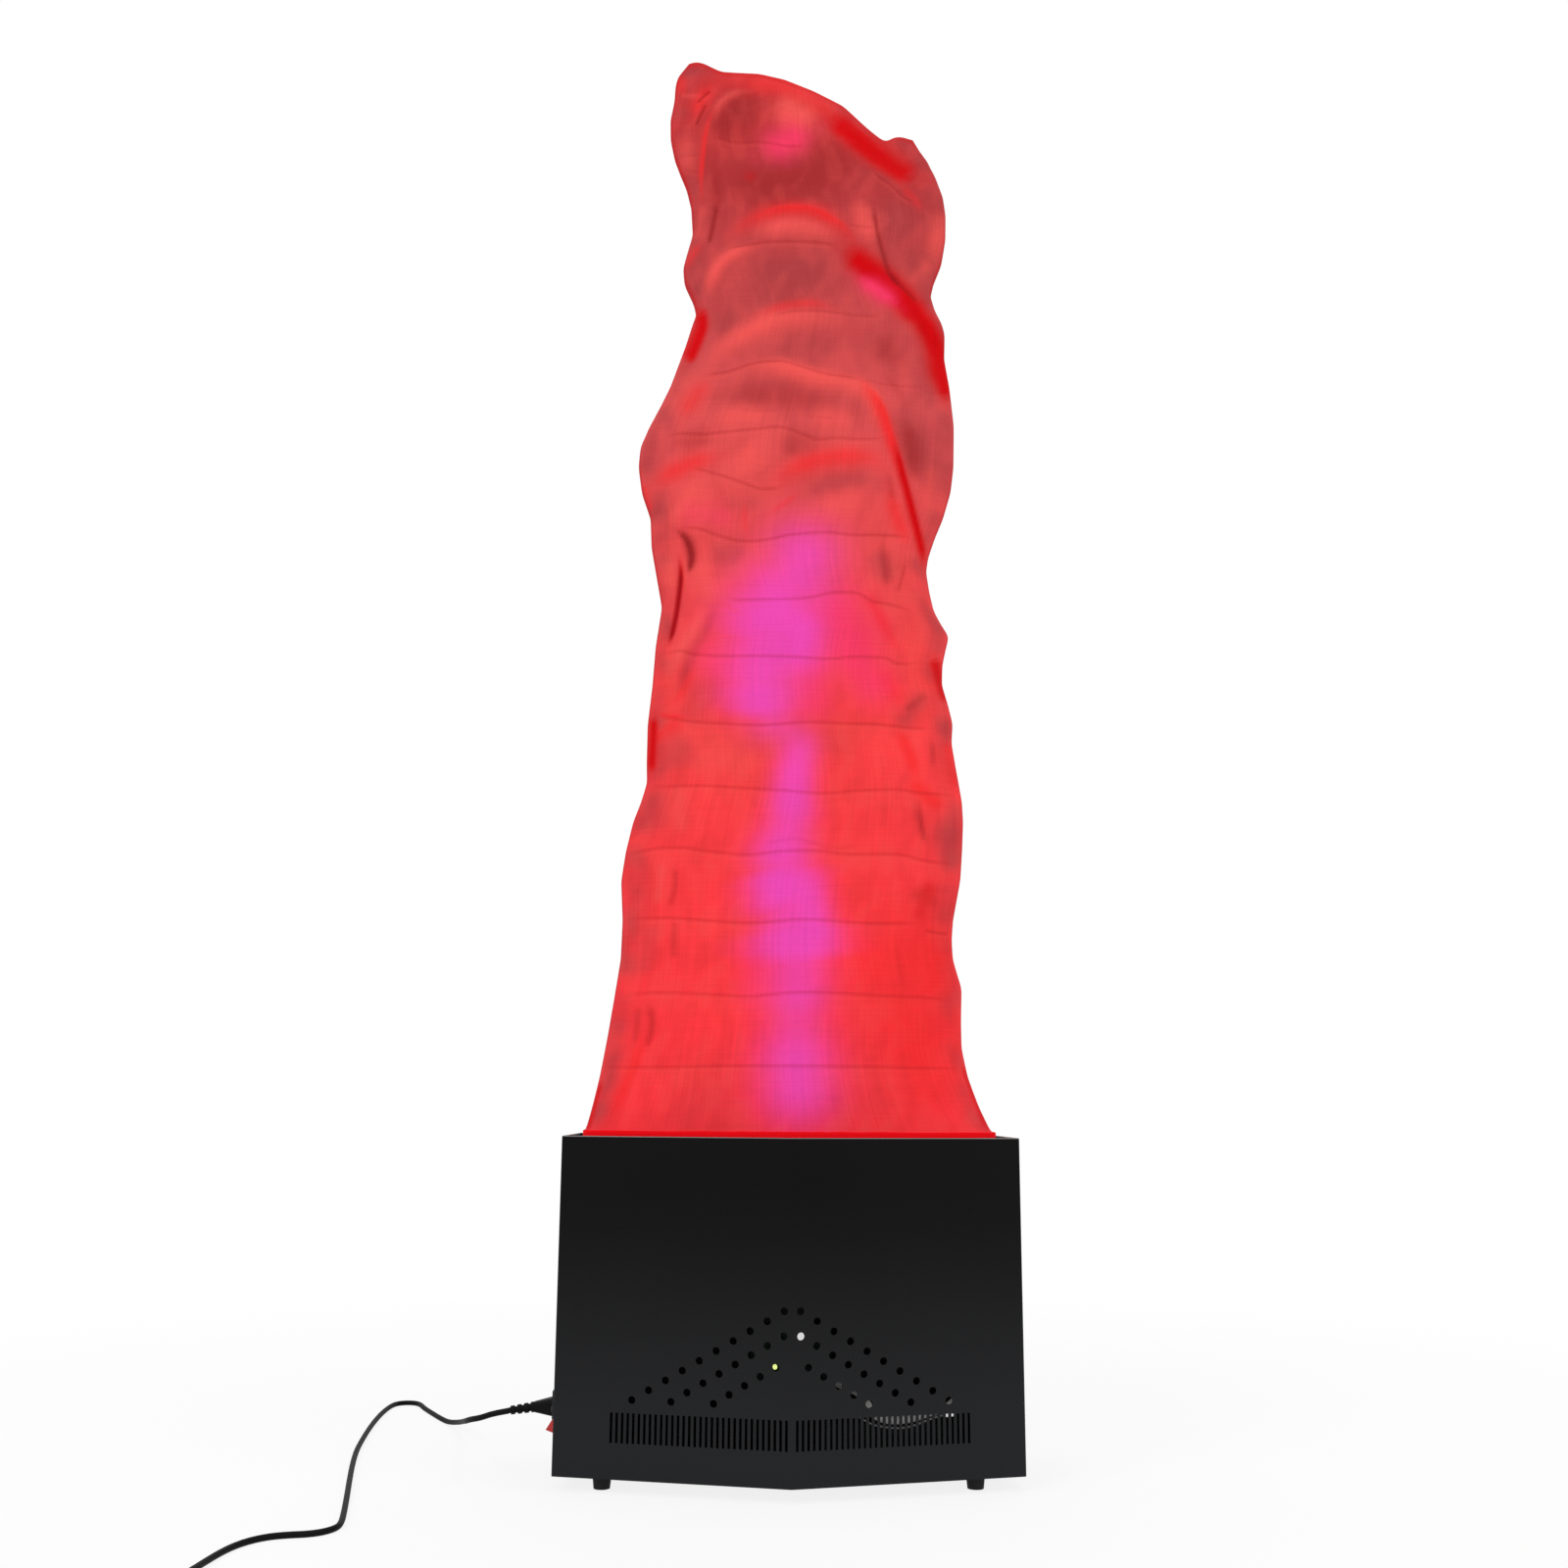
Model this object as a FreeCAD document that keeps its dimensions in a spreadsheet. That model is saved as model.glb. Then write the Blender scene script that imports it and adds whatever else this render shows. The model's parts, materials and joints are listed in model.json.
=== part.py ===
"""Silk flame effect light: a black sheet steel case with two fans and three lamp bars under a tall silk flame.

Lengths are in millimetres. X points right, Y points away from the front, and Z points up.
The origin is on the floor under the middle of the case.
The case is a box whose front is folded out to a shallow ridge at x = 0.
"""

import FreeCAD, Part
import math
import os
import re
from types import SimpleNamespace

V = FreeCAD.Vector

SIZES = {
    # case
    "case_width": 530, "case_depth": 265, "case_height": 370, "ridge_out": 65,
    "foot_height": 16, "plate": 1.5, "bend_round": 2.5, "rim_fold": 10, "rim_round": 1.2,
    "return_width": 15, "tray_flange": 20, "fit_gap": 0.25, "cut_over": 5,
    # air slits and holes in the front
    "slit_count": 32, "slit_first": 6.16, "slit_pitch": 6.41, "slit_width": 3,
    "slit_length": 32, "slit_rise": 38.3,
    "hole_dia": 8.3, "hole_row_end": 84.2,
    "outer_first": 9.2, "outer_pitch": 19.17, "outer_count": 10,
    "middle_first": 9.78, "middle_pitch": 18.12, "middle_count": 8,
    "inner_first": 18.43, "inner_pitch": 17.43, "inner_count": 5,
    "hole_row_angle": 30,
    # back vents
    "vent_columns": 3, "vent_rows": 5, "vent_length": 110, "vent_width": 4, "vent_pitch_x": 150,
    "vent_pitch_z": 12, "vent_rise": 168,
    # feet
    "foot_side_in": 55, "foot_front_in": 18, "foot_rear_in": 18, "foot_top_dia": 22, "foot_base_dia": 18.5,
    "foot_recess_dia": 10, "foot_recess_deep": 8,
    # screws
    "screw_dia": 4, "screw_head_dia": 7.6, "screw_head": 2.4, "screw_gap": 0.05,
    "screw_length": 9, "nut_dia": 7.8, "nut_height": 3.2,
    "side_screw_inset": 45, "rear_screw_inset": 40,
    # shelf and deck
    "shelf_rise": 235, "shelf_flange": 16, "deck_drop": 20, "deck_flange": 14, "collar_height": 20,
    # silk base, its tape and its hem
    "silk_side_in": 19, "silk_front_in": 15.5, "silk_rear_in": 20.5, "silk_thick": 1.2,
    "hem_thick": 1.5, "hem_rise": 6, "hem_height": 18, "tape_thick": 1.5, "tape_height": 10,
    "collar_thick": 1.5,
    # fans
    "fan_gap": 12, "bar_gap": 2, "bar_side_in": 19, "fan_cut": 22, "fan_edge": 28, "fan_height": 51,
    "fan_ring": 3, "fan_flange": 5, "fan_hole_out": 9, "fan_hole_turn": 32.9,
    "fan_arm_width": 8, "fan_arm_height": 6, "fan_plate_dia": 60, "fan_plate_height": 4,
    "post_dia": 22, "post_height": 32, "bearing_dia": 16, "bearing_height": 5, "shaft_dia": 6,
    "running_gap": 0.05, "stator_dia": 50, "stator_height": 20, "stator_rise": 12,
    "stator_slots": 8, "slot_width": 4, "slot_deep": 8,
    "hub_dia": 68, "hub_wall": 4, "hub_rise": 10, "hub_top": 46, "blade_count": 7,
    "blade_gap": 6, "blade_chord_root": 22, "blade_chord_tip": 36, "blade_thick": 1.8,
    "blade_angle_root": 48, "blade_angle_tip": 26,
    "guard_wire": 2.4, "guard_weld": 0.8, "guard_eye_dia": 10, "guard_ring_first": 20, "guard_over": 2,
    "guard_rings": 4,
    # lamp bars
    "bar_width": 40, "bar_share": 0.56604, "bar_height": 46, "bar_base": 6,
    "bar_fins": 6, "fin_thick": 2, "lamp_board": 1.6, "lamp_board_side": 2, "lamp_count": 5,
    "lamp_end": 5, "chip_dia": 8, "chip_height": 2, "lens_dia": 20, "lens_height": 9,
    "lens_top_dia": 15, "lens_recess": 9,
    # power supply
    "supply_side_in": 65, "supply_rear_in": 22, "supply_length": 160, "supply_width": 98, "supply_height": 40,
    "supply_board_rise": 6, "supply_board_thick": 1.6, "supply_board_end_in": 14,
    "supply_board_side_in": 5, "boss_dia": 6, "supply_hole_rows": 5, "supply_hole_columns": 12,
    "supply_hole_dia": 4, "supply_hole_pitch": 9, "coil_length": 34, "coil_width": 30,
    "coil_less": 16, "can_dia": 20, "can_less": 14, "terminal_length": 14,
    "terminal_width": 62, "terminal_height": 15,
    # control board and its bracket
    "control_in": 41, "control_rise": 95, "control_height": 70, "control_width": 90,
    "board_thick": 1.6, "standoff": 6, "standoff_dia": 6, "bracket_less": 25,
    "bracket_foot": 22, "power_led_x": -18, "power_led_up": 25.5, "led_dia": 5, "led_length": 7,
    "white_plug_x": 9.9, "white_plug_up": 58.7, "white_plug_width": 14, "white_plug_height": 12,
    "white_plug_deep": 9, "dip_length": 20, "dip_width": 8, "dip_height": 4,
    "loom_plug_in": 13, "loom_plug_up": 7, "loom_plug_side": 12, "loom_plug_deep": 10,
    "loom_dia": 4.5, "wire_dia": 1.6, "wire_drop": 5, "clip_side": 12, "clip_in": 15.5, "clip_drop": 12,
    # mains inlet with its fuse drawer
    "inlet_in": 35, "inlet_rise": 68.25, "inlet_flange": 2.5, "inlet_flange_y": 50,
    "inlet_flange_low": 9.9, "inlet_flange_high": 20.2, "socket_width": 24.6, "socket_height": 16.9,
    "socket_deep": 17.5, "socket_corner": 4.5, "inlet_wall": 1.4, "inlet_deep": 26,
    "inlet_hole_pitch": 40, "pin_length": 15, "pin_wide": 4, "pin_thick": 2, "pin_pitch": 7,
    "pin_offset": 2, "drawer_in": 0.6, "drawer_height": 8, "drawer_deep": 13, "drawer_gap": 0.2,
    "drawer_lip": 1.2, "fuse_dia": 5, "fuse_in": 4,
    # rocker switch
    "bezel_over_y": 2, "bezel_over_z": 1.6, "bezel_thick": 2, "switch_width": 13,
    "switch_height": 19.4, "switch_deep": 20, "switch_wall": 0.9, "rocker_side_gap": 0.6, "rocker_end_gap": 0.8,
    "pivot_in": 3, "trunnion_dia": 3, "trunnion_length": 0.6,
    # mains lead
    "nose_gap": 0.35, "nose_length": 17, "connector_gap": 0.3, "connector_width": 27,
    "connector_height": 19.5, "connector_length": 21.3, "neck_width": 14, "neck_height": 11,
    "lead_droop": 8, "relief_length": 31, "relief_dia": 11.5, "relief_tip_dia": 9,
    "relief_ribs": 4, "relief_groove": 1.6, "cord_in": 0.06, "cord_dia": 6.5, "cord_clear": 0.05,
    "plug_body_dia": 36, "plug_body_length": 22, "plug_body_height": 26, "plug_neck_length": 22,
    "plug_neck_dia": 12, "plug_pin_dia": 4.8, "plug_pin_length": 19, "plug_pin_pitch": 19,
}

PLACES = {
    "case_top": "foot_height + case_height",
    "half_width": "case_width / 2",
    "half_depth": "case_depth / 2",
    "corner_y": "ridge_out - case_depth / 2",
    "inner_half": "case_width / 2 - plate",
    "rear_inner": "case_depth / 2 - plate",
    "floor_top": "foot_height + plate",
    "shelf_top": "foot_height + shelf_rise",
    "shelf_bottom": "foot_height + shelf_rise - plate",
    "deck_top": "foot_height + case_height - deck_drop",
    "hem_top": "foot_height + case_height + hem_rise",
    "hem_bottom": "foot_height + case_height + hem_rise - hem_height",
    "foot_x": "case_width / 2 - foot_side_in",
    "foot_front_y": "ridge_out - case_depth / 2 + foot_front_in",
    "foot_rear_y": "case_depth / 2 - foot_rear_in",
    "screw_hole": "screw_dia / 2 + screw_gap",
    "silk_half_width": "case_width / 2 - silk_side_in",
    "silk_y": "(ridge_out + silk_front_in - silk_rear_in) / 2",
    "silk_half_depth": "(case_depth - ridge_out - silk_front_in - silk_rear_in) / 2",
    "bar_x": "case_width / 2 - bar_side_in - bar_width / 2",
    "bar_length": "case_depth * bar_share",
    "lamp_pitch": "(bar_length - 2 * lamp_end) / lamp_count",
    "fan_across": "case_width / 2 - bar_side_in - 3 * bar_width / 2 - bar_gap - fan_gap",
    "fan_x": "bar_width / 2 + fan_gap + fan_across / 2",
    "fan_deep": "fan_across - fan_cut",
    "fan_bore": "fan_across - fan_edge",
    "fan_hole_x": "(fan_bore / 2 + fan_hole_out) * cos(fan_hole_turn)",
    "fan_hole_y": "(fan_bore / 2 + fan_hole_out) * sin(fan_hole_turn)",
    "blade_tip": "fan_bore / 2 - blade_gap",
    "guard_ring_pitch": "(fan_bore / 2 + guard_over - guard_ring_first) / (guard_rings - 1)",
    "fan_top": "foot_height + shelf_rise + fan_height",
    "bezel_width": "switch_width + bezel_over_y",
    "bezel_height": "switch_height + bezel_over_z",
    "rocker_width": "switch_width - 2 * switch_wall - rocker_side_gap",
    "rocker_height": "switch_height - 2 * switch_wall - rocker_end_gap",
    "rocker_z": "inlet_z - inlet_flange_low - fit_gap - bezel_height / 2",
    "wall_x": "0 - case_width / 2",
    "flange_x": "0 - case_width / 2 - inlet_flange",
    "bezel_x": "0 - case_width / 2 - bezel_thick",
    "supply_x": "case_width / 2 - supply_side_in - supply_length / 2",
    "supply_y": "case_depth / 2 - plate - supply_rear_in - supply_width / 2",
    "supply_board_length": "supply_length - 2 * supply_board_end_in",
    "supply_board_width": "supply_width - 2 * supply_board_side_in",
    "coil_height": "supply_height - coil_less",
    "can_height": "supply_height - can_less",
    "control_y": "control_in - case_depth / 2",
    "bracket_width": "control_width - bracket_less",
    "control_low": "foot_height + control_rise",
    "power_led_z": "control_low + power_led_up",
    "white_plug_z": "control_low + white_plug_up",
    "loom_plug_z": "control_low + loom_plug_up",
    "loom_plug_x": "control_width / 2 - loom_plug_in",
    "inlet_y": "ridge_out - case_depth / 2 + inlet_in",
    "inlet_z": "foot_height + inlet_rise",
    "drawer_width": "socket_width - drawer_in",
    "fuse_length": "drawer_width - fuse_in",
    "board_top": "control_low + control_height",
    "board_front": "control_y - board_thick",
    "supply_floor": "foot_height + plate + plate",
    "supply_board_z": "foot_height + plate + plate + supply_board_rise",
    "supply_board_top": "foot_height + plate + plate + supply_board_rise + supply_board_thick",
    "supply_top": "foot_height + plate + supply_height",
    "lamp_board_z": "foot_height + shelf_rise + bar_height",
    "lamp_z": "foot_height + shelf_rise + bar_height + lamp_board",
    "bracket_web_y": "control_y + standoff",
    "bracket_top": "foot_height + shelf_rise - plate",
    "drawer_z": "inlet_z + socket_height / 2 + inlet_wall + drawer_height / 2",
    "connector_x": "0 - case_width / 2 - inlet_flange - connector_gap",
    "neck_x": "0 - case_width / 2 - inlet_flange - connector_gap - connector_length",
}

# The silk's outline from the hem up, one row per level: left edge x and z, right edge x and z,
# half depth, how far the middle leans back, and the phase of the folds in turns.
SILK_LEVELS = [
    (-246, 392, 246, 392, 82, 0, 0.00),
    (-229, 468, 216, 468, 78, 0, 0.08),
    (-212, 560, 211, 560, 73, -2, 0.16),
    (-206, 648, 202, 648, 69, -3, 0.26),
    (-204, 735, 214, 735, 66, -2, 0.36),
    (-180, 818, 215, 818, 63, 2, 0.45),
    (-177, 900, 206, 900, 61, 5, 0.56),
    (-173, 985, 196, 985, 59, 6, 0.66),
    (-169, 1068, 184, 1068, 57, 4, 0.78),
    (-182, 1145, 185, 1145, 57, 0, 0.90),
    (-198, 1222, 209, 1222, 58, -4, 1.02),
    (-194, 1296, 213, 1296, 59, -6, 1.14),
    (-155, 1374, 205, 1374, 56, -5, 1.26),
    (-129, 1466, 192, 1466, 52, -2, 1.38),
    (-143, 1545, 202, 1545, 47, 3, 1.50),
    (-138, 1628, 207, 1620, 40, 7, 1.60),
    (-155, 1692, 197, 1670, 31, 9, 1.70),
    (-169, 1748, 184, 1702, 20, 10, 1.80),
    (-162, 1800, 132, 1738, 10, 10, 1.88),
    (-139, 1838, 56, 1786, 4, 10, 1.95),
]
SILK_EDGE_COUNT = 12
SILK_FOLD_COUNT = 3
SILK_FOLD_DEEP = 7
SILK_FOLD_SHARE = 0.25
BASE_POWER = 6
FLAT_ENOUGH = 0.002
UPPER_POWER = 2.6

# The mains lead's route on the floor, from its strain relief to its plug, chosen by hand.
CORD_POINTS = [
    (-319.7, -32.5, 78.9), (-336.5, -32.5, 76.5), (-352, -24, 72.5), (-362, -7, 67.5),
    (-369, 18, 61.5), (-376, 55, 53), (-384.5, 104, 42.5), (-396, 163, 30),
    (-408.5, 226, 17.5), (-422, 284, 7), (-437, 325, 3.3), (-455, 355, 3.3),
    (-472, 388, 3.3), (-485, 420, 3.3), (-492.8, 441.1, 3.3), (-500.8, 458.3, 3.3),
    (-517.2, 467.8, 3.3), (-536.1, 466.1, 3.3), (-550.6, 453.9, 3.3), (-555.5, 435.6, 3.3),
    (-555, 400, 3.3), (-550, 345, 3.3), (-543, 285, 3.3), (-535.5, 215, 3.3),
    (-526, 140, 3.3), (-513, 62, 3.3), (-497, -22, 3.3), (-480, -108, 3.3),
    (-466, -181.5, 3.3), (-460, -217, 3.3), (-459.5, -237, 3.3), (-468, -253, 3.3),
    (-482, -262, 3.3), (-500, -265, 3.3), (-517, -271, 3.3), (-531, -285, 3.3),
    (-541, -305, 3.3), (-547, -330, 3.3), (-551, -362, 3.5), (-553, -402, 5),
    (-553.5, -440, 8.5), (-553.5, -474, 13),
]

CORD_FALL_COUNT = 10

# The grey loom's route inside the case, from the control board's plug to the clip under the shelf.
LOOM_POINTS = [
    (32, -81.5, 118), (32, -70, 117), (38, -57, 109), (50, -50, 95), (68, -47.5, 79),
    (94, -47.5, 71.5), (122, -47.5, 69), (150, -47.5, 71.5), (178, -47.5, 79), (207, -46.5, 93),
    (231, -45, 113), (243, -44, 141), (247, -43.5, 175), (248, -43, 208), (248, -42.5, 237.5),
]

LOOM_LOW_COUNT = 9

# The red rocker's side view as photographed, pressed in at its top: up from the pivot, out from the wall.
ROCKER_OUTLINE = [
    (8.6, -1.0), (8.2, 3.2), (-4.2, 11.2), (-8.2, 0.6), (-7.4, -2.2), (-3.0, -6.4), (3.0, -6.4), (7.2, -3.2),
]

doc = FreeCAD.newDocument("flame_light")
sheet = doc.addObject("Spreadsheet::Sheet", "Sizes")
for row, (alias, number) in enumerate(SIZES.items(), 1):
    sheet.set(f"A{row}", alias)
    sheet.set(f"B{row}", str(number))
    sheet.setAlias(f"B{row}", alias)
doc.recompute()


def spell(text):
    """Turn the names of driving sizes and derived places in an expression into sheet references."""
    def word(match):
        name = match.group()
        if name in PLACES:
            return "(" + spell(PLACES[name]) + ")"
        return "Sizes." + name if name in SIZES else name
    return re.sub(r"[a-z_][a-z0-9_]*", word, text)


places = doc.addObject("Spreadsheet::Sheet", "Places")
for row, (alias, text) in enumerate(PLACES.items(), 1):
    places.set(f"A{row}", alias)
    places.set(f"B{row}", "=" + spell(text))
    places.setAlias(f"B{row}", alias)
doc.recompute()

s = SimpleNamespace(
    **{alias: float(sheet.get(alias)) for alias in SIZES},
    **{alias: float(places.get(alias)) for alias in PLACES},
)
NODES = []


def bind(obj, **expressions):
    """Bind properties, named with two underscores for a dot, to expressions in named sizes."""
    for name, text in expressions.items():
        obj.setExpression(name.replace("__", "."), spell(text))
    return obj


def place(obj, x="0", y="0", z="0"):
    """Bind where an object stands."""
    return bind(obj, Placement__Base__x=x, Placement__Base__y=y, Placement__Base__z=z)


def node(label, obj):
    """Name a finished sub-part, which goes to a file of that name."""
    obj.Label = label
    NODES.append(obj)
    return obj


def box(name, length, width, height, x, y, z):
    """A block from its low corner."""
    obj = bind(doc.addObject("Part::Box", name), Length=length, Width=width, Height=height)
    return place(obj, x, y, z)


def middle_box(name, length, width, height, x, y, z):
    """A block that stands on z, centred on x and y."""
    return box(name, length, width, height, f"{x} - ({length}) / 2", f"{y} - ({width}) / 2", z)


def rod(name, radius, height, x, y, z, axis=V(0, 0, 1)):
    """A round bar from a point along an axis."""
    obj = bind(doc.addObject("Part::Cylinder", name), Radius=radius, Height=height)
    obj.Placement.Rotation = FreeCAD.Rotation(V(0, 0, 1), axis)
    return place(obj, x, y, z)


def solid(name, shape):
    """A shape worked out here from the sheet's values."""
    obj = doc.addObject("Part::Feature", name)
    obj.Shape = shape
    return obj


def joined(name, *parts):
    """Parts fused into one solid."""
    obj = doc.addObject("Part::MultiFuse", name)
    obj.Shapes = list(parts)
    return obj


def cut(name, base, *tools):
    """A base with tools cut out of it."""
    obj = doc.addObject("Part::Cut", name)
    obj.Base = base
    obj.Tool = tools[0] if len(tools) == 1 else joined(name + "_tools", *tools)
    return obj


def group(name, parts):
    """Separate solids kept as one node."""
    obj = doc.addObject("Part::Compound", name)
    obj.Links = list(parts)
    return obj


def case_outline(inset, rear):
    """The case's five-sided plan, drawn in by an inset, with its back edge at a given y."""
    slope = s.ridge_out / s.half_width
    ridge = inset * math.hypot(1, slope) - s.half_depth
    side = s.half_width - inset
    corner = ridge + slope * side
    return [(0, ridge), (side, corner), (side, rear), (-side, rear), (-side, corner)]


def prism(points, low, high, bend=0):
    """A plan outline pulled up from low to high, its front bends rounded."""
    ring = [V(x, y, low) for x, y in points]
    shape = Part.Face(Part.makePolygon(ring + ring[:1])).extrude(V(0, 0, high - low))
    if bend:
        front = [points[0], points[1], points[4]]
        edges = [
            e for e in shape.Edges
            if any(math.hypot(v.X - x, v.Y - y) < s.plate / 4 for x, y in front for v in e.Vertexes[:1])
            and abs(e.Vertexes[0].X - e.Vertexes[-1].X) < s.plate / 4
            and abs(e.Vertexes[0].Y - e.Vertexes[-1].Y) < s.plate / 4
        ]
        shape = shape.makeFillet(bend, edges)
    return shape


def tray(low, flange_up, rear, height):
    """A folded tray inside the case: a floor with a flange all round."""
    top = max(low + s.plate, low + flange_up)
    bottom = min(low, low + s.plate + flange_up)
    outer = prism(case_outline(s.plate, rear), bottom, top, s.bend_round - s.plate)
    inner_low = low + s.plate if flange_up > 0 else bottom - s.cut_over
    inner_high = top + s.cut_over if flange_up > 0 else low
    inner = prism(case_outline(2 * s.plate, rear - s.plate), inner_low, inner_high)
    return outer.cut(inner)


def face_frame(side):
    """The placement of one front face: X along the face from the ridge, Y into the case, Z up."""
    turn = math.atan2(s.ridge_out, s.half_width)
    along = V(side * math.cos(turn), math.sin(turn), 0)
    into = V(-side * math.sin(turn), math.cos(turn), 0)
    return V(0, -s.half_depth, s.foot_height), along, into


def air_slits():
    """The row of tall slits low on both front faces."""
    tools = []
    for side in (-1, 1):
        origin, along, into = face_frame(side)
        for k in range(int(s.slit_count)):
            middle = origin + along * (s.slit_first + k * s.slit_pitch) - into * s.cut_over
            low = middle + V(0, 0, s.slit_rise)
            edge = along * (s.slit_width / 2)
            up = V(0, 0, s.slit_length)
            ring = [low - edge, low + edge, low + edge + up, low - edge + up]
            face = Part.Face(Part.makePolygon(ring + ring[:1]))
            tools.append(face.extrude(into * (2 * s.cut_over)))
    return tools


def air_holes():
    """Three slanted rows of round holes on both front faces, which end at one height."""
    rise = math.tan(math.radians(s.hole_row_angle))
    rows = [
        (s.outer_first, s.outer_pitch, s.outer_count),
        (s.middle_first, s.middle_pitch, s.middle_count),
        (s.inner_first, s.inner_pitch, s.inner_count),
    ]
    tools = []
    for side in (-1, 1):
        origin, along, into = face_frame(side)
        for first, pitch, count in rows:
            for k in range(int(count)):
                height = s.hole_row_end + (count - 1 - k) * pitch * rise
                centre = origin + along * (first + k * pitch) + V(0, 0, height)
                tools.append(Part.makeCylinder(s.hole_dia / 2, 2 * s.cut_over, centre - into * s.cut_over, into))
    return tools


def side_screw_places():
    """Where the side screws sit, as y and z: two each for the base, shelf and deck flanges."""
    heights = [
        s.foot_height + s.tray_flange / 2,
        s.shelf_top + s.shelf_flange / 2,
        s.deck_top - s.plate - s.deck_flange / 2,
    ]
    ends = [s.corner_y + s.side_screw_inset, s.half_depth - s.side_screw_inset]
    return [(y, z) for z in heights for y in ends]


def rear_screw_places():
    """Where the back panel's screws sit, as x and z."""
    x = s.inner_half - s.return_width / 2
    low = s.foot_height + s.tray_flange + s.rear_screw_inset
    high = s.case_top - s.rear_screw_inset
    return [(side * x, z) for side in (-1, 1) for z in (low, (low + high) / 2, high)]


def screw(head_at, way, length, washer=0):
    """A pan head screw whose head's underside is at a point; the shank runs along a direction."""
    head = Part.makeCylinder(s.screw_head_dia / 2, s.screw_head, head_at - way * s.screw_head, way)
    return head.fuse(Part.makeCylinder(s.screw_dia / 2, length, head_at, way)).removeSplitter()


def nut(at, way):
    """A hexagon nut that starts at a point and runs along a direction, round a screw."""
    ring = [
        V(s.nut_dia / 2 * math.cos(math.radians(60 * k)), s.nut_dia / 2 * math.sin(math.radians(60 * k)), 0)
        for k in range(6)
    ]
    body = Part.Face(Part.makePolygon(ring + ring[:1])).extrude(V(0, 0, s.nut_height))
    body = body.cut(Part.makeCylinder(s.screw_hole, s.nut_height))
    body.Placement = FreeCAD.Placement(at, FreeCAD.Rotation(V(0, 0, 1), way))
    return body


def across_holes(places_yz, radius, low_x, length):
    """Round tools along X at the given y and z."""
    return [Part.makeCylinder(radius, length, V(low_x, y, z), V(1, 0, 0)) for y, z in places_yz]


def squircle(half_x, half_y, power, front, count):
    """Points of half a rounded plan outline, evenly spaced, from its left end to its right end."""
    fine = 240
    turn = [math.pi * k / fine for k in range(fine + 1)]
    path = []
    for a in turn:
        c, d = -math.cos(a), math.sin(a)
        x = half_x * math.copysign(abs(c) ** (2 / power), c)
        y = half_y * abs(d) ** (2 / power)
        path.append((x, -y if front else y))
    run = [0]
    for (x0, y0), (x1, y1) in zip(path, path[1:]):
        run.append(run[-1] + math.hypot(x1 - x0, y1 - y0))
    points, k = [], 0
    for n in range(count + 1):
        want = run[-1] * n / count
        while k < fine - 1 and run[k + 1] < want:
            k += 1
        part = (want - run[k]) / max(run[k + 1] - run[k], 1e-9)
        (x0, y0), (x1, y1) = path[k], path[k + 1]
        points.append((x0 + (x1 - x0) * part, y0 + (y1 - y0) * part))
    points[0] = (-half_x, 0)
    points[-1] = (half_x, 0)
    return points


def arcs(points):
    """Arcs through every two steps of a list of points, or straight edges where they run straight."""
    edges = []
    for a, b, c in zip(points[::2], points[1::2], points[2::2]):
        straight = b.distanceToLine(a, c - a) < FLAT_ENOUGH
        edges.append((Part.LineSegment(a, c) if straight else Part.Arc(a, b, c)).toShape())
    return edges


def base_ring(inset, low, high):
    """A closed band round the silk's base, drawn in by an inset, pulled up from low to high."""
    wires = []
    for extra in inset:
        halves = [
            squircle(s.silk_half_width - extra, s.silk_half_depth - extra, BASE_POWER, front, 2 * SILK_EDGE_COUNT)
            for front in (True, False)
        ]
        front_side = [V(x, s.silk_y + y, low) for x, y in halves[0]]
        rear_side = [V(x, s.silk_y + y, low) for x, y in reversed(halves[1])]
        wires.append(Part.Wire(arcs(front_side) + arcs(rear_side)))
    face = Part.Face(wires[0])
    if len(wires) == 2:
        face = face.cut(Part.Face(wires[1]))
    return face.extrude(V(0, 0, high - low))


def silk_line(level, front, inset):
    """Points across one side of the silk at one level, with its folds, drawn in by an inset."""
    left_x, left_z, right_x, right_z, deep, lean, phase = level
    number = SILK_LEVELS.index(level)
    foot = SILK_LEVELS[0]
    left_x, right_x = (x * s.silk_half_width / foot[2] for x in (left_x, right_x))
    left_z, right_z = (s.hem_top + z - foot[1] for z in (left_z, right_z))
    deep = deep * s.silk_half_depth / foot[4]
    power = BASE_POWER if number == 0 else UPPER_POWER
    fold = 0 if number == 0 else min(SILK_FOLD_DEEP, SILK_FOLD_SHARE * deep)
    half, middle = (right_x - left_x) / 2, (right_x + left_x) / 2
    count = 2 * SILK_EDGE_COUNT
    outer = squircle(half, deep, power, front, count)
    points = []
    for k, (x, y) in enumerate(outer):
        share = k / count
        wave = math.sin(2 * math.pi * (SILK_FOLD_COUNT * share + phase)) * math.sin(math.pi * share)
        points.append((middle + x, s.silk_y + lean + y + fold * wave))
    if inset:
        moved = [(points[0][0] + inset, points[0][1])]
        for k in range(1, count):
            (x0, y0), (x1, y1) = points[k - 1], points[k + 1]
            size = math.hypot(x1 - x0, y1 - y0)
            way = 1 if front else -1
            moved.append((points[k][0] - way * inset * (y1 - y0) / size,
                          points[k][1] + way * inset * (x1 - x0) / size))
        moved.append((points[-1][0] - inset, points[-1][1]))
        points = moved
    tilt = (right_z - left_z) / (right_x - left_x)
    return [V(x, y, left_z + tilt * (x - left_x)) for x, y in points]


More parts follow.
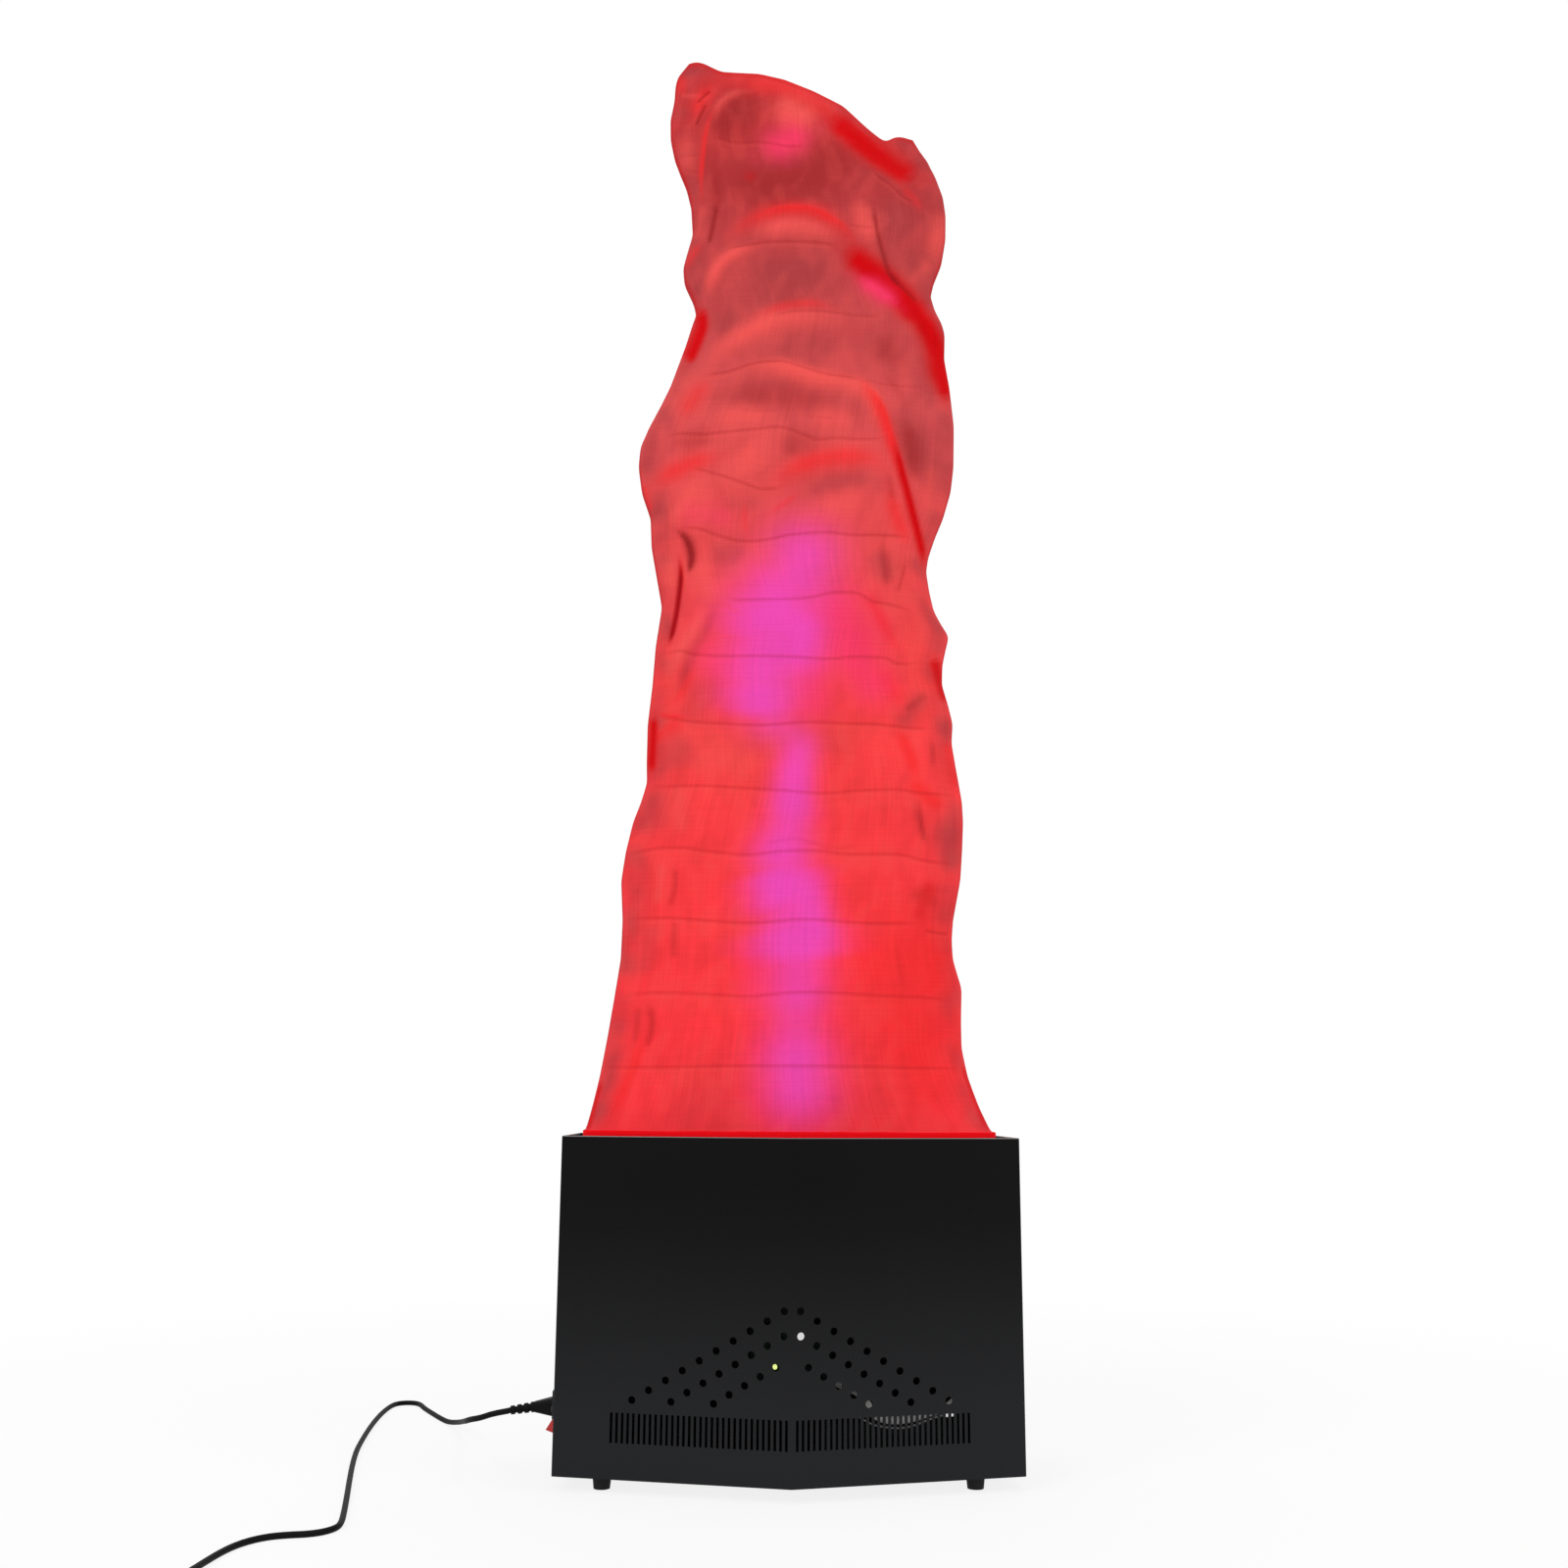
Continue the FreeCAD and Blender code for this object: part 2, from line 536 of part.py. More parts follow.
def silk_panel(front):
    """One side of the silk flame: a thin folded sheet lofted through its levels."""
    sections = []
    for level in SILK_LEVELS:
        outer = silk_line(level, front, 0)
        inner = silk_line(level, front, s.silk_thick)
        edges = arcs(outer)
        edges.append(Part.LineSegment(outer[-1], inner[-1]).toShape())
        edges += arcs(inner[::-1])
        edges.append(Part.LineSegment(inner[0], outer[0]).toShape())
        sections.append(Part.Wire(edges))
    return Part.makeLoft(sections, True, True)


def tube(points, radius, name):
    """A round cord along straight runs joined by tangent arcs as large as the runs allow."""
    route = [V(*p) for p in points]
    edges, radii = [], []
    start = route[0]
    for before, corner, after in zip(route, route[1:], route[2:]):
        arrive, leave = (before - corner), (after - corner)
        reach = 0.45 * min(arrive.Length, leave.Length)
        arrive.normalize()
        leave.normalize()
        half_turn = (math.pi - arrive.getAngle(leave)) / 2
        bend = reach / math.tan(half_turn)
        first, last = corner + arrive * reach, corner + leave * reach
        inward = arrive + leave
        inward.normalize()
        centre = corner + inward * (bend / math.cos(half_turn))
        top = centre - inward * bend
        edges.append(Part.LineSegment(start, first).toShape())
        edges.append(Part.Arc(first, top, last).toShape())
        radii.append(bend)
        start = last
    edges.append(Part.LineSegment(start, route[-1]).toShape())
    path = Part.Wire(edges)
    ring = Part.Wire(Part.makeCircle(radius, route[0], route[1] - route[0]))
    shape = path.makePipeShell([ring], True, False)
    want = math.pi * radius ** 2 * path.Length
    print(f"{name}: length {path.Length:.1f}, least radius {min(radii):.1f}, volume share {shape.Volume / want:.4f}")
    print(f"{name}: radii {[round(bend) for bend in radii]}")
    return shape


def front_shell():
    """The folded wrap that makes the ridged front, both sides, the hemmed rim and the rear returns."""
    shell = prism(case_outline(0, s.half_depth), s.foot_height, s.case_top, s.bend_round)
    hollow = prism(case_outline(s.plate, s.half_depth + s.cut_over), s.foot_height - s.cut_over,
                   s.case_top - s.rim_fold, s.bend_round - s.plate)
    mouth = prism(case_outline(2 * s.plate, s.half_depth + s.cut_over), s.case_top - s.rim_fold - s.plate,
                  s.case_top + s.cut_over)
    shell = shell.cut(hollow).cut(mouth)
    behind = Part.makeBox(s.case_width, s.plate + s.cut_over, s.case_height + 2 * s.cut_over,
                          V(-s.half_width, s.rear_inner, s.foot_height - s.cut_over))
    fold_end = Part.makeBox(2 * s.inner_half, s.plate + s.cut_over, s.case_height + 2 * s.cut_over,
                            V(-s.inner_half, s.rear_inner, s.foot_height - s.cut_over))
    rim = [
        e for e in shell.Edges
        if min(v.Z for v in e.Vertexes) > s.case_top - s.plate / 2
        and max(v.Y for v in e.Vertexes) < behind.BoundBox.YMax
        and e.Length > s.plate
        and abs(e.Vertexes[0].Y - s.half_depth) + abs(e.Vertexes[-1].Y - s.half_depth) > s.plate
    ]
    shell = shell.makeFillet(s.rim_round, rim)
    shell = shell.cut(fold_end)
    low = s.foot_height + s.tray_flange + s.fit_gap
    for side in (-1, 1):
        left = s.inner_half - s.return_width if side > 0 else -s.inner_half
        shell = shell.fuse(Part.makeBox(s.return_width, s.plate, s.case_top - s.rim_fold - low,
                                        V(left, s.rear_inner - s.plate, low)))
    tools = air_slits() + air_holes()
    tools += across_holes(side_screw_places(), s.screw_hole, -s.half_width - s.cut_over, s.case_width + 2 * s.cut_over)
    tools += [
        Part.makeCylinder(s.screw_hole, 3 * s.cut_over, V(x, s.half_depth - 2 * s.cut_over, z), V(0, 1, 0))
        for x, z in rear_screw_places()
    ]
    body_width = s.socket_width + 2 * s.inlet_wall
    body_low = s.socket_height / 2 + s.inlet_wall
    body_high = s.drawer_z - s.inlet_z + s.drawer_height / 2 + s.inlet_wall
    tools.append(Part.makeBox(
        2 * s.cut_over, body_width + 2 * s.fit_gap, body_low + body_high + 2 * s.fit_gap,
        V(s.wall_x - s.cut_over, s.inlet_y - body_width / 2 - s.fit_gap, s.inlet_z - body_low - s.fit_gap)))
    switch_low = s.rocker_z - s.switch_height / 2 - s.fit_gap
    tools.append(Part.makeBox(
        2 * s.cut_over, s.switch_width + 2 * s.fit_gap, s.inlet_z - switch_low,
        V(s.wall_x - s.cut_over, s.inlet_y - s.switch_width / 2 - s.fit_gap, switch_low)))
    tools += [
        Part.makeCylinder(s.screw_dia / 2 * 3 / 4 + s.screw_gap, 2 * s.cut_over,
                          V(s.wall_x - s.cut_over, s.inlet_y + side * s.inlet_hole_pitch / 2, s.inlet_z), V(1, 0, 0))
        for side in (-1, 1)
    ]
    return shell.cut(tools).removeSplitter()


def fan_places():
    """The four screw places of a fan, from its axis."""
    return [(a * s.fan_hole_x, b * s.fan_hole_y) for a in (-1, 1) for b in (-1, 1)]


def casing():
    """The case's sheet metal pieces."""
    node("front_shell", solid("front_shell", front_shell()))

    body = doc.addObject("PartDesign::Body", "rear_panel_body")
    plane = [f for f in body.Origin.OriginFeatures if f.Role == "XZ_Plane"][0]
    sketch = body.newObject("Sketcher::SketchObject", "rear_panel_sketch")
    sketch.AttachmentSupport = [(plane, "")]
    sketch.MapMode = "FlatFace"
    corners = [V(-s.inner_half, s.foot_height, 0), V(s.inner_half, s.foot_height, 0),
               V(s.inner_half, s.case_top, 0), V(-s.inner_half, s.case_top, 0)]
    for a, b in zip(corners, corners[1:] + corners[:1]):
        sketch.addGeometry(Part.LineSegment(a, b), False)
    for x, z in rear_screw_places():
        sketch.addGeometry(Part.Circle(V(x, z, 0), V(0, 0, 1), s.screw_hole), False)
    pad = body.newObject("PartDesign::Pad", "rear_panel_pad")
    pad.Profile = sketch
    bind(pad, Length="plate")
    pad.Reversed = True
    doc.recompute()
    slot = body.newObject("Sketcher::SketchObject", "rear_vent_sketch")
    slot.AttachmentSupport = [(plane, "")]
    slot.MapMode = "FlatFace"
    first_x = -(s.vent_columns - 1) / 2 * s.vent_pitch_x
    low = s.foot_height + s.vent_rise
    reach = s.vent_length / 2 - s.vent_width / 2
    round_end = s.vent_width / 2
    for column in range(int(s.vent_columns)):
        for line in range(int(s.vent_rows)):
            x, z = first_x + column * s.vent_pitch_x, low + line * s.vent_pitch_z
            slot.addGeometry(Part.LineSegment(V(x - reach, z - round_end, 0), V(x + reach, z - round_end, 0)), False)
            slot.addGeometry(Part.Arc(V(x + reach, z - round_end, 0), V(x + reach + round_end, z, 0),
                                      V(x + reach, z + round_end, 0)), False)
            slot.addGeometry(Part.LineSegment(V(x + reach, z + round_end, 0), V(x - reach, z + round_end, 0)), False)
            slot.addGeometry(Part.Arc(V(x - reach, z + round_end, 0), V(x - reach - round_end, z, 0),
                                      V(x - reach, z - round_end, 0)), False)
    pocket = body.newObject("PartDesign::Pocket", "rear_vents")
    pocket.Profile = slot
    bind(pocket, Length="plate + cut_over")
    doc.recompute()
    if pocket.Shape.Volume >= pad.Shape.Volume * 0.999:
        pocket.Reversed = True
        doc.recompute()
    place(body, y="rear_inner")
    node("rear_panel", body)

    feet = [(a * s.foot_x, y) for a in (-1, 1) for y in (s.foot_front_y, s.foot_rear_y)]
    base = tray(s.foot_height, s.tray_flange, s.rear_inner, 0)
    tools = across_holes(side_screw_places()[:2], s.screw_hole, -s.half_width, s.case_width)
    tools += [Part.makeCylinder(s.screw_hole, 2 * s.cut_over, V(x, y, s.foot_height - s.cut_over)) for x, y in feet]
    node("base_plate", solid("base_plate", base.cut(tools)))

    shelf = tray(s.shelf_bottom, s.shelf_flange, s.rear_inner - s.plate, 0)
    tools = across_holes(side_screw_places()[2:4], s.screw_hole, -s.half_width, s.case_width)
    for side in (-1, 1):
        tools.append(Part.makeCylinder(s.fan_bore / 2, 2 * s.cut_over,
                                       V(side * s.fan_x, s.silk_y, s.shelf_bottom - s.cut_over)))
        tools += [
            Part.makeCylinder(s.screw_hole, 2 * s.cut_over,
                              V(side * s.fan_x + x, s.silk_y + y, s.shelf_bottom - s.cut_over))
            for x, y in fan_places()
        ]
    node("fan_shelf", solid("fan_shelf", shelf.cut(tools)))

    low = s.deck_top - s.plate
    deck = tray(low, -s.deck_flange, s.rear_inner - s.plate, 0)
    opening = s.hem_thick + s.tape_thick + s.collar_thick
    deck = deck.cut(base_ring([opening], low - s.cut_over, s.deck_top + s.cut_over))
    collar = base_ring([opening - s.collar_thick, opening], low, s.deck_top + s.collar_height)
    deck = deck.fuse(collar)
    deck = deck.cut(across_holes(side_screw_places()[4:], s.screw_hole, -s.half_width, s.case_width))
    node("deck_plate", solid("deck_plate", deck.removeSplitter()))


def feet():
    """Four tapered rubber feet with their screws and nuts."""
    corners = {
        "foot_front_left": (-s.foot_x, s.foot_front_y), "foot_front_right": (s.foot_x, s.foot_front_y),
        "foot_rear_left": (-s.foot_x, s.foot_rear_y), "foot_rear_right": (s.foot_x, s.foot_rear_y),
    }
    screws, nuts = [], []
    for name, (x, y) in corners.items():
        cone = bind(doc.addObject("Part::Cone", name + "_cone"), Radius1="foot_base_dia / 2",
                    Radius2="foot_top_dia / 2", Height="foot_height")
        recess = rod(name + "_recess", "foot_recess_dia / 2", "foot_recess_deep", "0", "0", "0")
        bore = rod(name + "_bore", "screw_hole", "foot_height", "0", "0", "0")
        foot = cut(name, cone, recess, bore)
        side = "foot_x" if x > 0 else "0 - foot_x"
        place(foot, side, "foot_front_y" if y < 0 else "foot_rear_y")
        node(name, foot)
        length = s.foot_height - s.foot_recess_deep + s.plate + s.nut_height
        screws.append(solid(name + "_screw", screw(V(x, y, s.foot_recess_deep), V(0, 0, 1), length)))
        nuts.append(solid(name + "_nut", nut(V(x, y, s.floor_top), V(0, 0, 1))))
    node("foot_screws", group("foot_screws", screws))
    return nuts


def case_screws():
    """The screws that hold the wrap to its trays and the back panel to the wrap."""
    screws = [
        solid("side_screw", screw(V(-way * s.half_width, y, z), V(way, 0, 0), s.screw_length))
        for way in (-1, 1) for y, z in side_screw_places()
    ]
    screws += [
        solid("rear_screw", screw(V(x, s.half_depth, z), V(0, -1, 0), s.screw_length))
        for x, z in rear_screw_places()
    ]
    node("case_screws", group("case_screws", screws))


def silk():
    """The silk flame: front and back sheets on a hem that a hook tape holds to the deck's collar."""
    tape_low = s.hem_bottom
    tape = base_ring([s.hem_thick, s.hem_thick + s.tape_thick], tape_low, tape_low + s.tape_height)
    node("hook_tape", solid("hook_tape", tape))
    node("silk_hem", solid("silk_hem", base_ring([0, s.hem_thick], s.hem_bottom, s.hem_top)))
    node("silk_front", solid("silk_front", silk_panel(True)))
    node("silk_back", solid("silk_back", silk_panel(False)))


def fan_frame():
    """A fan's moulded frame round the origin: two flanges, a ring, three arms and the motor's post."""
    disc = Part.makeCylinder(s.fan_across / 2, s.fan_height)
    disc = disc.common(Part.makeBox(s.fan_across, s.fan_deep, s.fan_height, V(-s.fan_across / 2, -s.fan_deep / 2, 0)))
    waist = Part.makeCylinder(s.fan_across, s.fan_height - 2 * s.fan_flange, V(0, 0, s.fan_flange))
    waist = waist.cut(Part.makeCylinder(s.fan_bore / 2 + s.fan_ring, s.fan_height))
    frame = disc.cut(waist).cut(Part.makeCylinder(s.fan_bore / 2, s.fan_height))
    frame = frame.cut([Part.makeCylinder(s.screw_hole, s.fan_height, V(x, y, 0)) for x, y in fan_places()])
    arms = []
    reach = s.fan_bore / 2 + s.fan_ring / 2
    for k in range(3):
        arm = Part.makeBox(reach, s.fan_arm_width, s.fan_arm_height, V(0, -s.fan_arm_width / 2, 0))
        arm.rotate(V(0, 0, 0), V(0, 0, 1), 30 + 120 * k)
        arms.append(arm)
    centre = Part.makeCylinder(s.fan_plate_dia / 2, s.fan_plate_height)
    post = Part.makeCylinder(s.post_dia / 2, s.post_height)
    frame = frame.fuse(arms + [centre, post])
    bore = Part.makeCylinder(s.bearing_dia / 2, s.post_height, V(0, 0, s.fan_arm_height))
    return frame.cut(bore).removeSplitter()


def fan_stator():
    """The motor's slotted core on the post."""
    low = V(0, 0, s.stator_rise)
    ring = Part.makeCylinder(s.stator_dia / 2, s.stator_height, low)
    ring = ring.cut(Part.makeCylinder(s.post_dia / 2, s.stator_height, low))
    slots = []
    for k in range(int(s.stator_slots)):
        slot = Part.makeBox(s.slot_deep + s.cut_over, s.slot_width, s.stator_height,
                            V(s.stator_dia / 2 - s.slot_deep, -s.slot_width / 2, s.stator_rise))
        slot.rotate(V(0, 0, 0), V(0, 0, 1), 360 * k / s.stator_slots)
        slots.append(slot)
    return ring.cut(slots)


def bearing_lows():
    """How high the two bearings stand above the fan's foot."""
    return [s.fan_arm_height, s.post_height - s.bearing_height]


def fan_bearings():
    """Two bearings in the post."""
    rings = []
    for low in bearing_lows():
        ring = Part.makeCylinder(s.bearing_dia / 2, s.bearing_height, V(0, 0, low))
        rings.append(ring.cut(Part.makeCylinder(s.shaft_dia / 2 + s.running_gap, s.bearing_height, V(0, 0, low))))
    return Part.makeCompound(rings)


def blade_end(radius, chord, angle, middle):
    """One end of a fan blade: a thin slanted oblong across the radius."""
    lean = math.radians(angle)
    run, rise = V(0, math.cos(lean), math.sin(lean)), V(0, -math.sin(lean), math.cos(lean))
    centre = V(radius, 0, middle)
    half, thin = run * (chord / 2), rise * (s.blade_thick / 2)
    ring = [centre - half - thin, centre + half - thin, centre + half + thin, centre - half + thin]
    return Part.makePolygon(ring + ring[:1])


def impeller(hand):
    """The rotor: a hub cup with twisted blades, round the origin."""
    height = s.hub_top - s.hub_rise
    hub = Part.makeCylinder(s.hub_dia / 2, height, V(0, 0, s.hub_rise))
    hub = hub.cut(Part.makeCylinder(s.hub_dia / 2 - s.hub_wall, height - s.hub_wall, V(0, 0, s.hub_rise)))
    hub = hub.cut(Part.makeCylinder(s.shaft_dia / 2, s.hub_top))
    middle = (s.hub_rise + s.hub_top) / 2
    root = blade_end(s.hub_dia / 2 - s.hub_wall / 2, s.blade_chord_root, hand * s.blade_angle_root, middle)
    tip = blade_end(s.blade_tip, s.blade_chord_tip, hand * s.blade_angle_tip, middle)
    blade = Part.makeLoft([root, tip], True, True)
    core = Part.makeCylinder(s.hub_dia / 2 - s.hub_wall, s.hub_top)
    blades = []
    for k in range(int(s.blade_count)):
        turned = blade.copy()
        turned.rotate(V(0, 0, 0), V(0, 0, 1), 360 * k / s.blade_count)
        blades.append(turned.cut(core))
    return hub.fuse(blades).removeSplitter()


def fan_guard():
    """A wire guard that lies on the fan's top flange: rings welded onto four wires with an eye at each screw."""
    wire = s.guard_wire / 2
    ring_z = wire + s.guard_wire - s.guard_weld
    parts = []
    for k in range(int(s.guard_rings)):
        parts.append(Part.makeTorus(s.guard_ring_first + k * s.guard_ring_pitch, wire, V(0, 0, ring_z)))
    for x, y in fan_places():
        way = V(x, y, 0)
        reach = way.Length
        way.normalize()
        start = way * (s.guard_ring_first - wire)
        parts.append(Part.makeCylinder(wire, reach - start.Length, start + V(0, 0, wire), way))
        parts.append(Part.makeCylinder(s.guard_eye_dia / 2, s.guard_wire, V(x, y, 0)))
    shape = parts[0].fuse(parts[1:])
    return shape.cut([Part.makeCylinder(s.screw_hole, s.guard_wire, V(x, y, 0)) for x, y in fan_places()])


def fans(nuts):
    """Two axial fans on the shelf, blowing up into the silk; their nuts join those of the feet."""
    screws = []
    for side, name in ((-1, "left"), (1, "right")):
        x = "fan_x" if side > 0 else "0 - fan_x"
        pieces = {
            "fan_frame_": (fan_frame(), "shelf_top"),
            "fan_stator_": (fan_stator(), "shelf_top"),
            "fan_bearings_": (fan_bearings(), "shelf_top"),
            "fan_impeller_": (impeller(side), "shelf_top"),
            "fan_guard_": (fan_guard(), "fan_top"),
        }
        for label, (shape, low) in pieces.items():
            node(label + name, place(solid(label + name, shape), x, "silk_y", low))
        shaft = rod("fan_shaft_" + name, "shaft_dia / 2", "hub_top - fan_arm_height - running_gap",
                    x, "silk_y", "shelf_top + fan_arm_height + running_gap")
        node("fan_shaft_" + name, shaft)
        for a, b in fan_places():
            at = V(side * s.fan_x + a, s.silk_y + b, s.fan_top + s.guard_wire)
            length = s.guard_wire + s.fan_height + s.plate + s.nut_height
            screws.append(solid("fan_screw", screw(at, V(0, 0, -1), length)))
            nuts.append(solid("fan_nut", nut(V(at.x, at.y, s.shelf_bottom - s.nut_height), V(0, 0, 1))))
    node("fan_screws", group("fan_screws", screws))
    node("nuts", group("nuts", nuts))


def heat_sink():
    """A finned extrusion that stands on its fins, centred on the origin in X and Y."""
    slab = Part.makeBox(s.bar_width, s.bar_length, s.bar_base,
                        V(-s.bar_width / 2, -s.bar_length / 2, s.bar_height - s.bar_base))
    step = (s.bar_width - s.fin_thick) / (s.bar_fins - 1)
    fins = [
        Part.makeBox(s.fin_thick, s.bar_length, s.bar_height,
                     V(-s.bar_width / 2 + k * step, -s.bar_length / 2, 0))
        for k in range(int(s.bar_fins))
    ]
    return slab.fuse(fins).removeSplitter()


def lamp_bars():
    """Three lamp bars between and beside the fans, each with a board, five lamps and five lenses."""
    boards, chips, lenses = [], [], []
    for x, name in (("0 - bar_x", "left"), ("0", "centre"), ("bar_x", "right")):
        label = "lamp_sink_" + name
        node(label, place(solid(label, heat_sink()), x, "silk_y", "shelf_top"))
        boards.append(middle_box("lamp_board_" + name, "bar_width - 2 * lamp_board_side",
                                 "bar_length - 2 * lamp_board_side", "lamp_board", x, "silk_y", "lamp_board_z"))
        for k in range(int(s.lamp_count)):
            y = f"silk_y + ({k} - (lamp_count - 1) / 2) * lamp_pitch"
            chips.append(rod("lamp_chip", "chip_dia / 2", "chip_height", x, y, "lamp_z"))
            dome = bind(doc.addObject("Part::Cone", "lens_dome"), Radius1="lens_dia / 2",
                        Radius2="lens_top_dia / 2", Height="lens_height")
            hollow = rod("lens_hollow", "lens_recess / 2", "chip_height", "0", "0", "0")
            lenses.append(place(cut("lens", dome, hollow), x, y, "lamp_z"))
    node("lamp_boards", group("lamp_boards", boards))
    node("lamp_chips", group("lamp_chips", chips))
    node("lamp_lenses", group("lamp_lenses", lenses))


def power_supply():
    """The power supply on the base plate: a tray, a pierced cover, a board with its parts and the terminals."""
    centre = ("supply_x", "supply_y")
    floor = middle_box("supply_floor_plate", "supply_length", "supply_width", "plate", *centre, "floor_top")
    walls = [
        box("supply_wall", "supply_length", "plate", "supply_height - plate", "supply_x - supply_length / 2",
            y, "floor_top")
        for y in ("supply_y - supply_width / 2", "supply_y + supply_width / 2 - plate")
    ]
    bosses = [
        rod("supply_boss", "boss_dia / 2", "supply_board_rise", f"supply_x {a} supply_board_length / 2 * 0.9",
            f"supply_y {b} supply_board_width / 2 * 0.9", "supply_floor")
        for a in "+-" for b in "+-"
    ]
    node("supply_tray", joined("supply_tray", floor, *walls, *bosses))
    top = middle_box("supply_lid", "supply_length", "supply_width", "plate", *centre, "supply_top - plate")
    ends = [
        box("supply_end", "plate", "supply_width - 2 * plate", "supply_height - 2 * plate", x,
            "supply_y - supply_width / 2 + plate", "supply_floor")
        for x in ("supply_x - supply_length / 2", "supply_x + supply_length / 2 - plate")
    ]
    holes = [
        rod("supply_hole", "supply_hole_dia / 2", "2 * cut_over",
            f"supply_x + ({a} - (supply_hole_columns - 1) / 2) * supply_hole_pitch",
            f"supply_y + ({b} - (supply_hole_rows - 1) / 2) * supply_hole_pitch", "supply_top - cut_over")
        for a in range(int(s.supply_hole_columns)) for b in range(int(s.supply_hole_rows))
    ]
    node("supply_cover", cut("supply_cover", joined("supply_shroud", top, *ends), *holes))
    node("supply_board", middle_box("supply_board", "supply_board_length", "supply_board_width",
                                    "supply_board_thick", *centre, "supply_board_z"))
    parts = [
        middle_box("supply_transformer", "coil_length", "coil_width", "coil_height", *centre, "supply_board_top"),
        middle_box("supply_choke", "coil_width", "coil_width", "can_dia", "supply_x + supply_board_length / 3",
                   "supply_y - supply_board_width / 4", "supply_board_top"),
        rod("supply_can", "can_dia / 2", "can_height", "supply_x + supply_board_length / 3",
            "supply_y + supply_board_width / 4", "supply_board_top"),
        rod("supply_can_small", "can_dia / 3", "can_dia", "supply_x - supply_board_length / 5",
            "supply_y + supply_board_width / 3", "supply_board_top"),
    ]
    parts.append(middle_box("terminal_block", "terminal_length", "terminal_width", "terminal_height",
                            "supply_x - supply_board_length / 2 + terminal_length / 2", "supply_y",
                            "supply_board_top"))
    node("supply_parts", group("supply_parts", parts))


def control():
    """The control board behind the ridge, on a bracket under the shelf."""
    web = box("bracket_web", "bracket_width", "plate", "bracket_top - control_low", "0 - control_width / 2",
              "bracket_web_y", "control_low")
    foot = box("bracket_foot", "bracket_width", "bracket_foot", "plate", "0 - control_width / 2",
               "bracket_web_y", "bracket_top - plate")
    node("control_bracket", joined("control_bracket", web, foot))
    node("control_board", box("control_board", "control_width", "board_thick", "control_height",
                              "0 - control_width / 2", "board_front", "control_low"))
    posts = [
        rod("board_post", "standoff_dia / 2", "standoff", f"0 - control_width / 2 + {x}", "control_y", z, V(0, 1, 0))
        for x in ("standoff_dia", "bracket_width - standoff_dia")
        for z in ("control_low + standoff_dia", "board_top - standoff_dia")
    ]
    node("board_posts", group("board_posts", posts))
    body = rod("led_body", "led_dia / 2", "led_length - led_dia / 2", "power_led_x", "board_front", "power_led_z",
               V(0, -1, 0))
    tip = bind(doc.addObject("Part::Sphere", "led_tip"), Radius="led_dia / 2")
    place(tip, "power_led_x", "board_front - led_length + led_dia / 2", "power_led_z")
    node("power_led", joined("power_led", body, tip))
    node("white_plug", box("white_plug", "white_plug_width", "white_plug_deep", "white_plug_height",
                           "white_plug_x - white_plug_width / 2", "board_front - white_plug_deep",
                           "white_plug_z - white_plug_height / 2"))
    chips = [
        box("board_chip", "dip_length", "dip_height", "dip_width", x, "board_front - dip_height", z)
        for x, z in (
            ("0 - control_width / 3", "control_low + dip_width"),
            ("control_width / 10", "control_low + 2 * dip_width"),
            ("control_width / 10", "control_low + 4 * dip_width"),
        )
    ]
    node("board_chips", group("board_chips", chips))
    node("loom_plug", box("loom_plug", "loom_plug_side", "loom_plug_deep", "loom_plug_side",
                          "loom_plug_x - loom_plug_side / 2", "control_y", "loom_plug_z - loom_plug_side / 2"))
    (first_x, first_y, first_z), (last_x, last_y, last_z) = LOOM_POINTS[0], LOOM_POINTS[-1]
    wider = (s.inner_half - s.clip_in - s.loom_plug_x) / (last_x - first_x)
    taller = (s.shelf_bottom - s.clip_drop - s.loom_plug_z) / (last_z - first_z)
    route = [
        (s.loom_plug_x + (x - first_x) * wider, s.control_y + s.loom_plug_deep + y - first_y,
         s.loom_plug_z + (z - first_z) * (taller if k > LOOM_LOW_COUNT else 1))
        for k, (x, y, z) in enumerate(LOOM_POINTS)
    ]
    main = tube(route, s.loom_dia / 2, "loom")
    low = [(x, y, z - s.wire_drop) for x, y, z in route[:-1]]
    x, y, z = route[-1]
    thin = [(a - (s.wire_drop if k > LOOM_LOW_COUNT else 0), b, c) for k, (a, b, c) in enumerate(low)]
    thin.append((x - s.wire_drop, y, z))
    wire = tube(thin, s.wire_dia / 2, "thin wire")
    node("wiring_loom", group("wiring_loom", [solid("loom", main), solid("thin_wire", wire)]))
    end = route[-1]
    block = Part.makeBox(2 * s.clip_side, s.clip_side, s.shelf_bottom - end[2],
                         V(end[0] - 1.35 * s.clip_side, end[1] - s.clip_side / 2, end[2]))
    node("loom_clip", solid("loom_clip", block))


def socket_prism(width, height, corner, low_x, length):
    """A six-sided bar along X: an oblong with its two upper corners cut off."""
    w, h = width / 2, height / 2
    ring = [(-w, -h), (w, -h), (w, h - corner), (w - corner, h), (-w + corner, h), (-w, h - corner)]
    points = [V(low_x, s.inlet_y + y, s.inlet_z + z) for y, z in ring]
    return Part.Face(Part.makePolygon(points + points[:1])).extrude(V(length, 0, 0))


def pin_places():
    """The inlet's three pins, as y and z: the middle one higher."""
    return [
        (s.inlet_y - s.pin_pitch, s.inlet_z - s.pin_offset), (s.inlet_y, s.inlet_z + s.pin_offset),
        (s.inlet_y + s.pin_pitch, s.inlet_z - s.pin_offset),
    ]


def blade_pin(y, z, low_x, length, extra):
    """A flat pin along X, or the slot for one."""
    thick, wide = s.pin_thick + 2 * extra, s.pin_wide + 2 * extra
    return Part.makeBox(length, thick, wide, V(low_x, y - thick / 2, z - wide / 2))


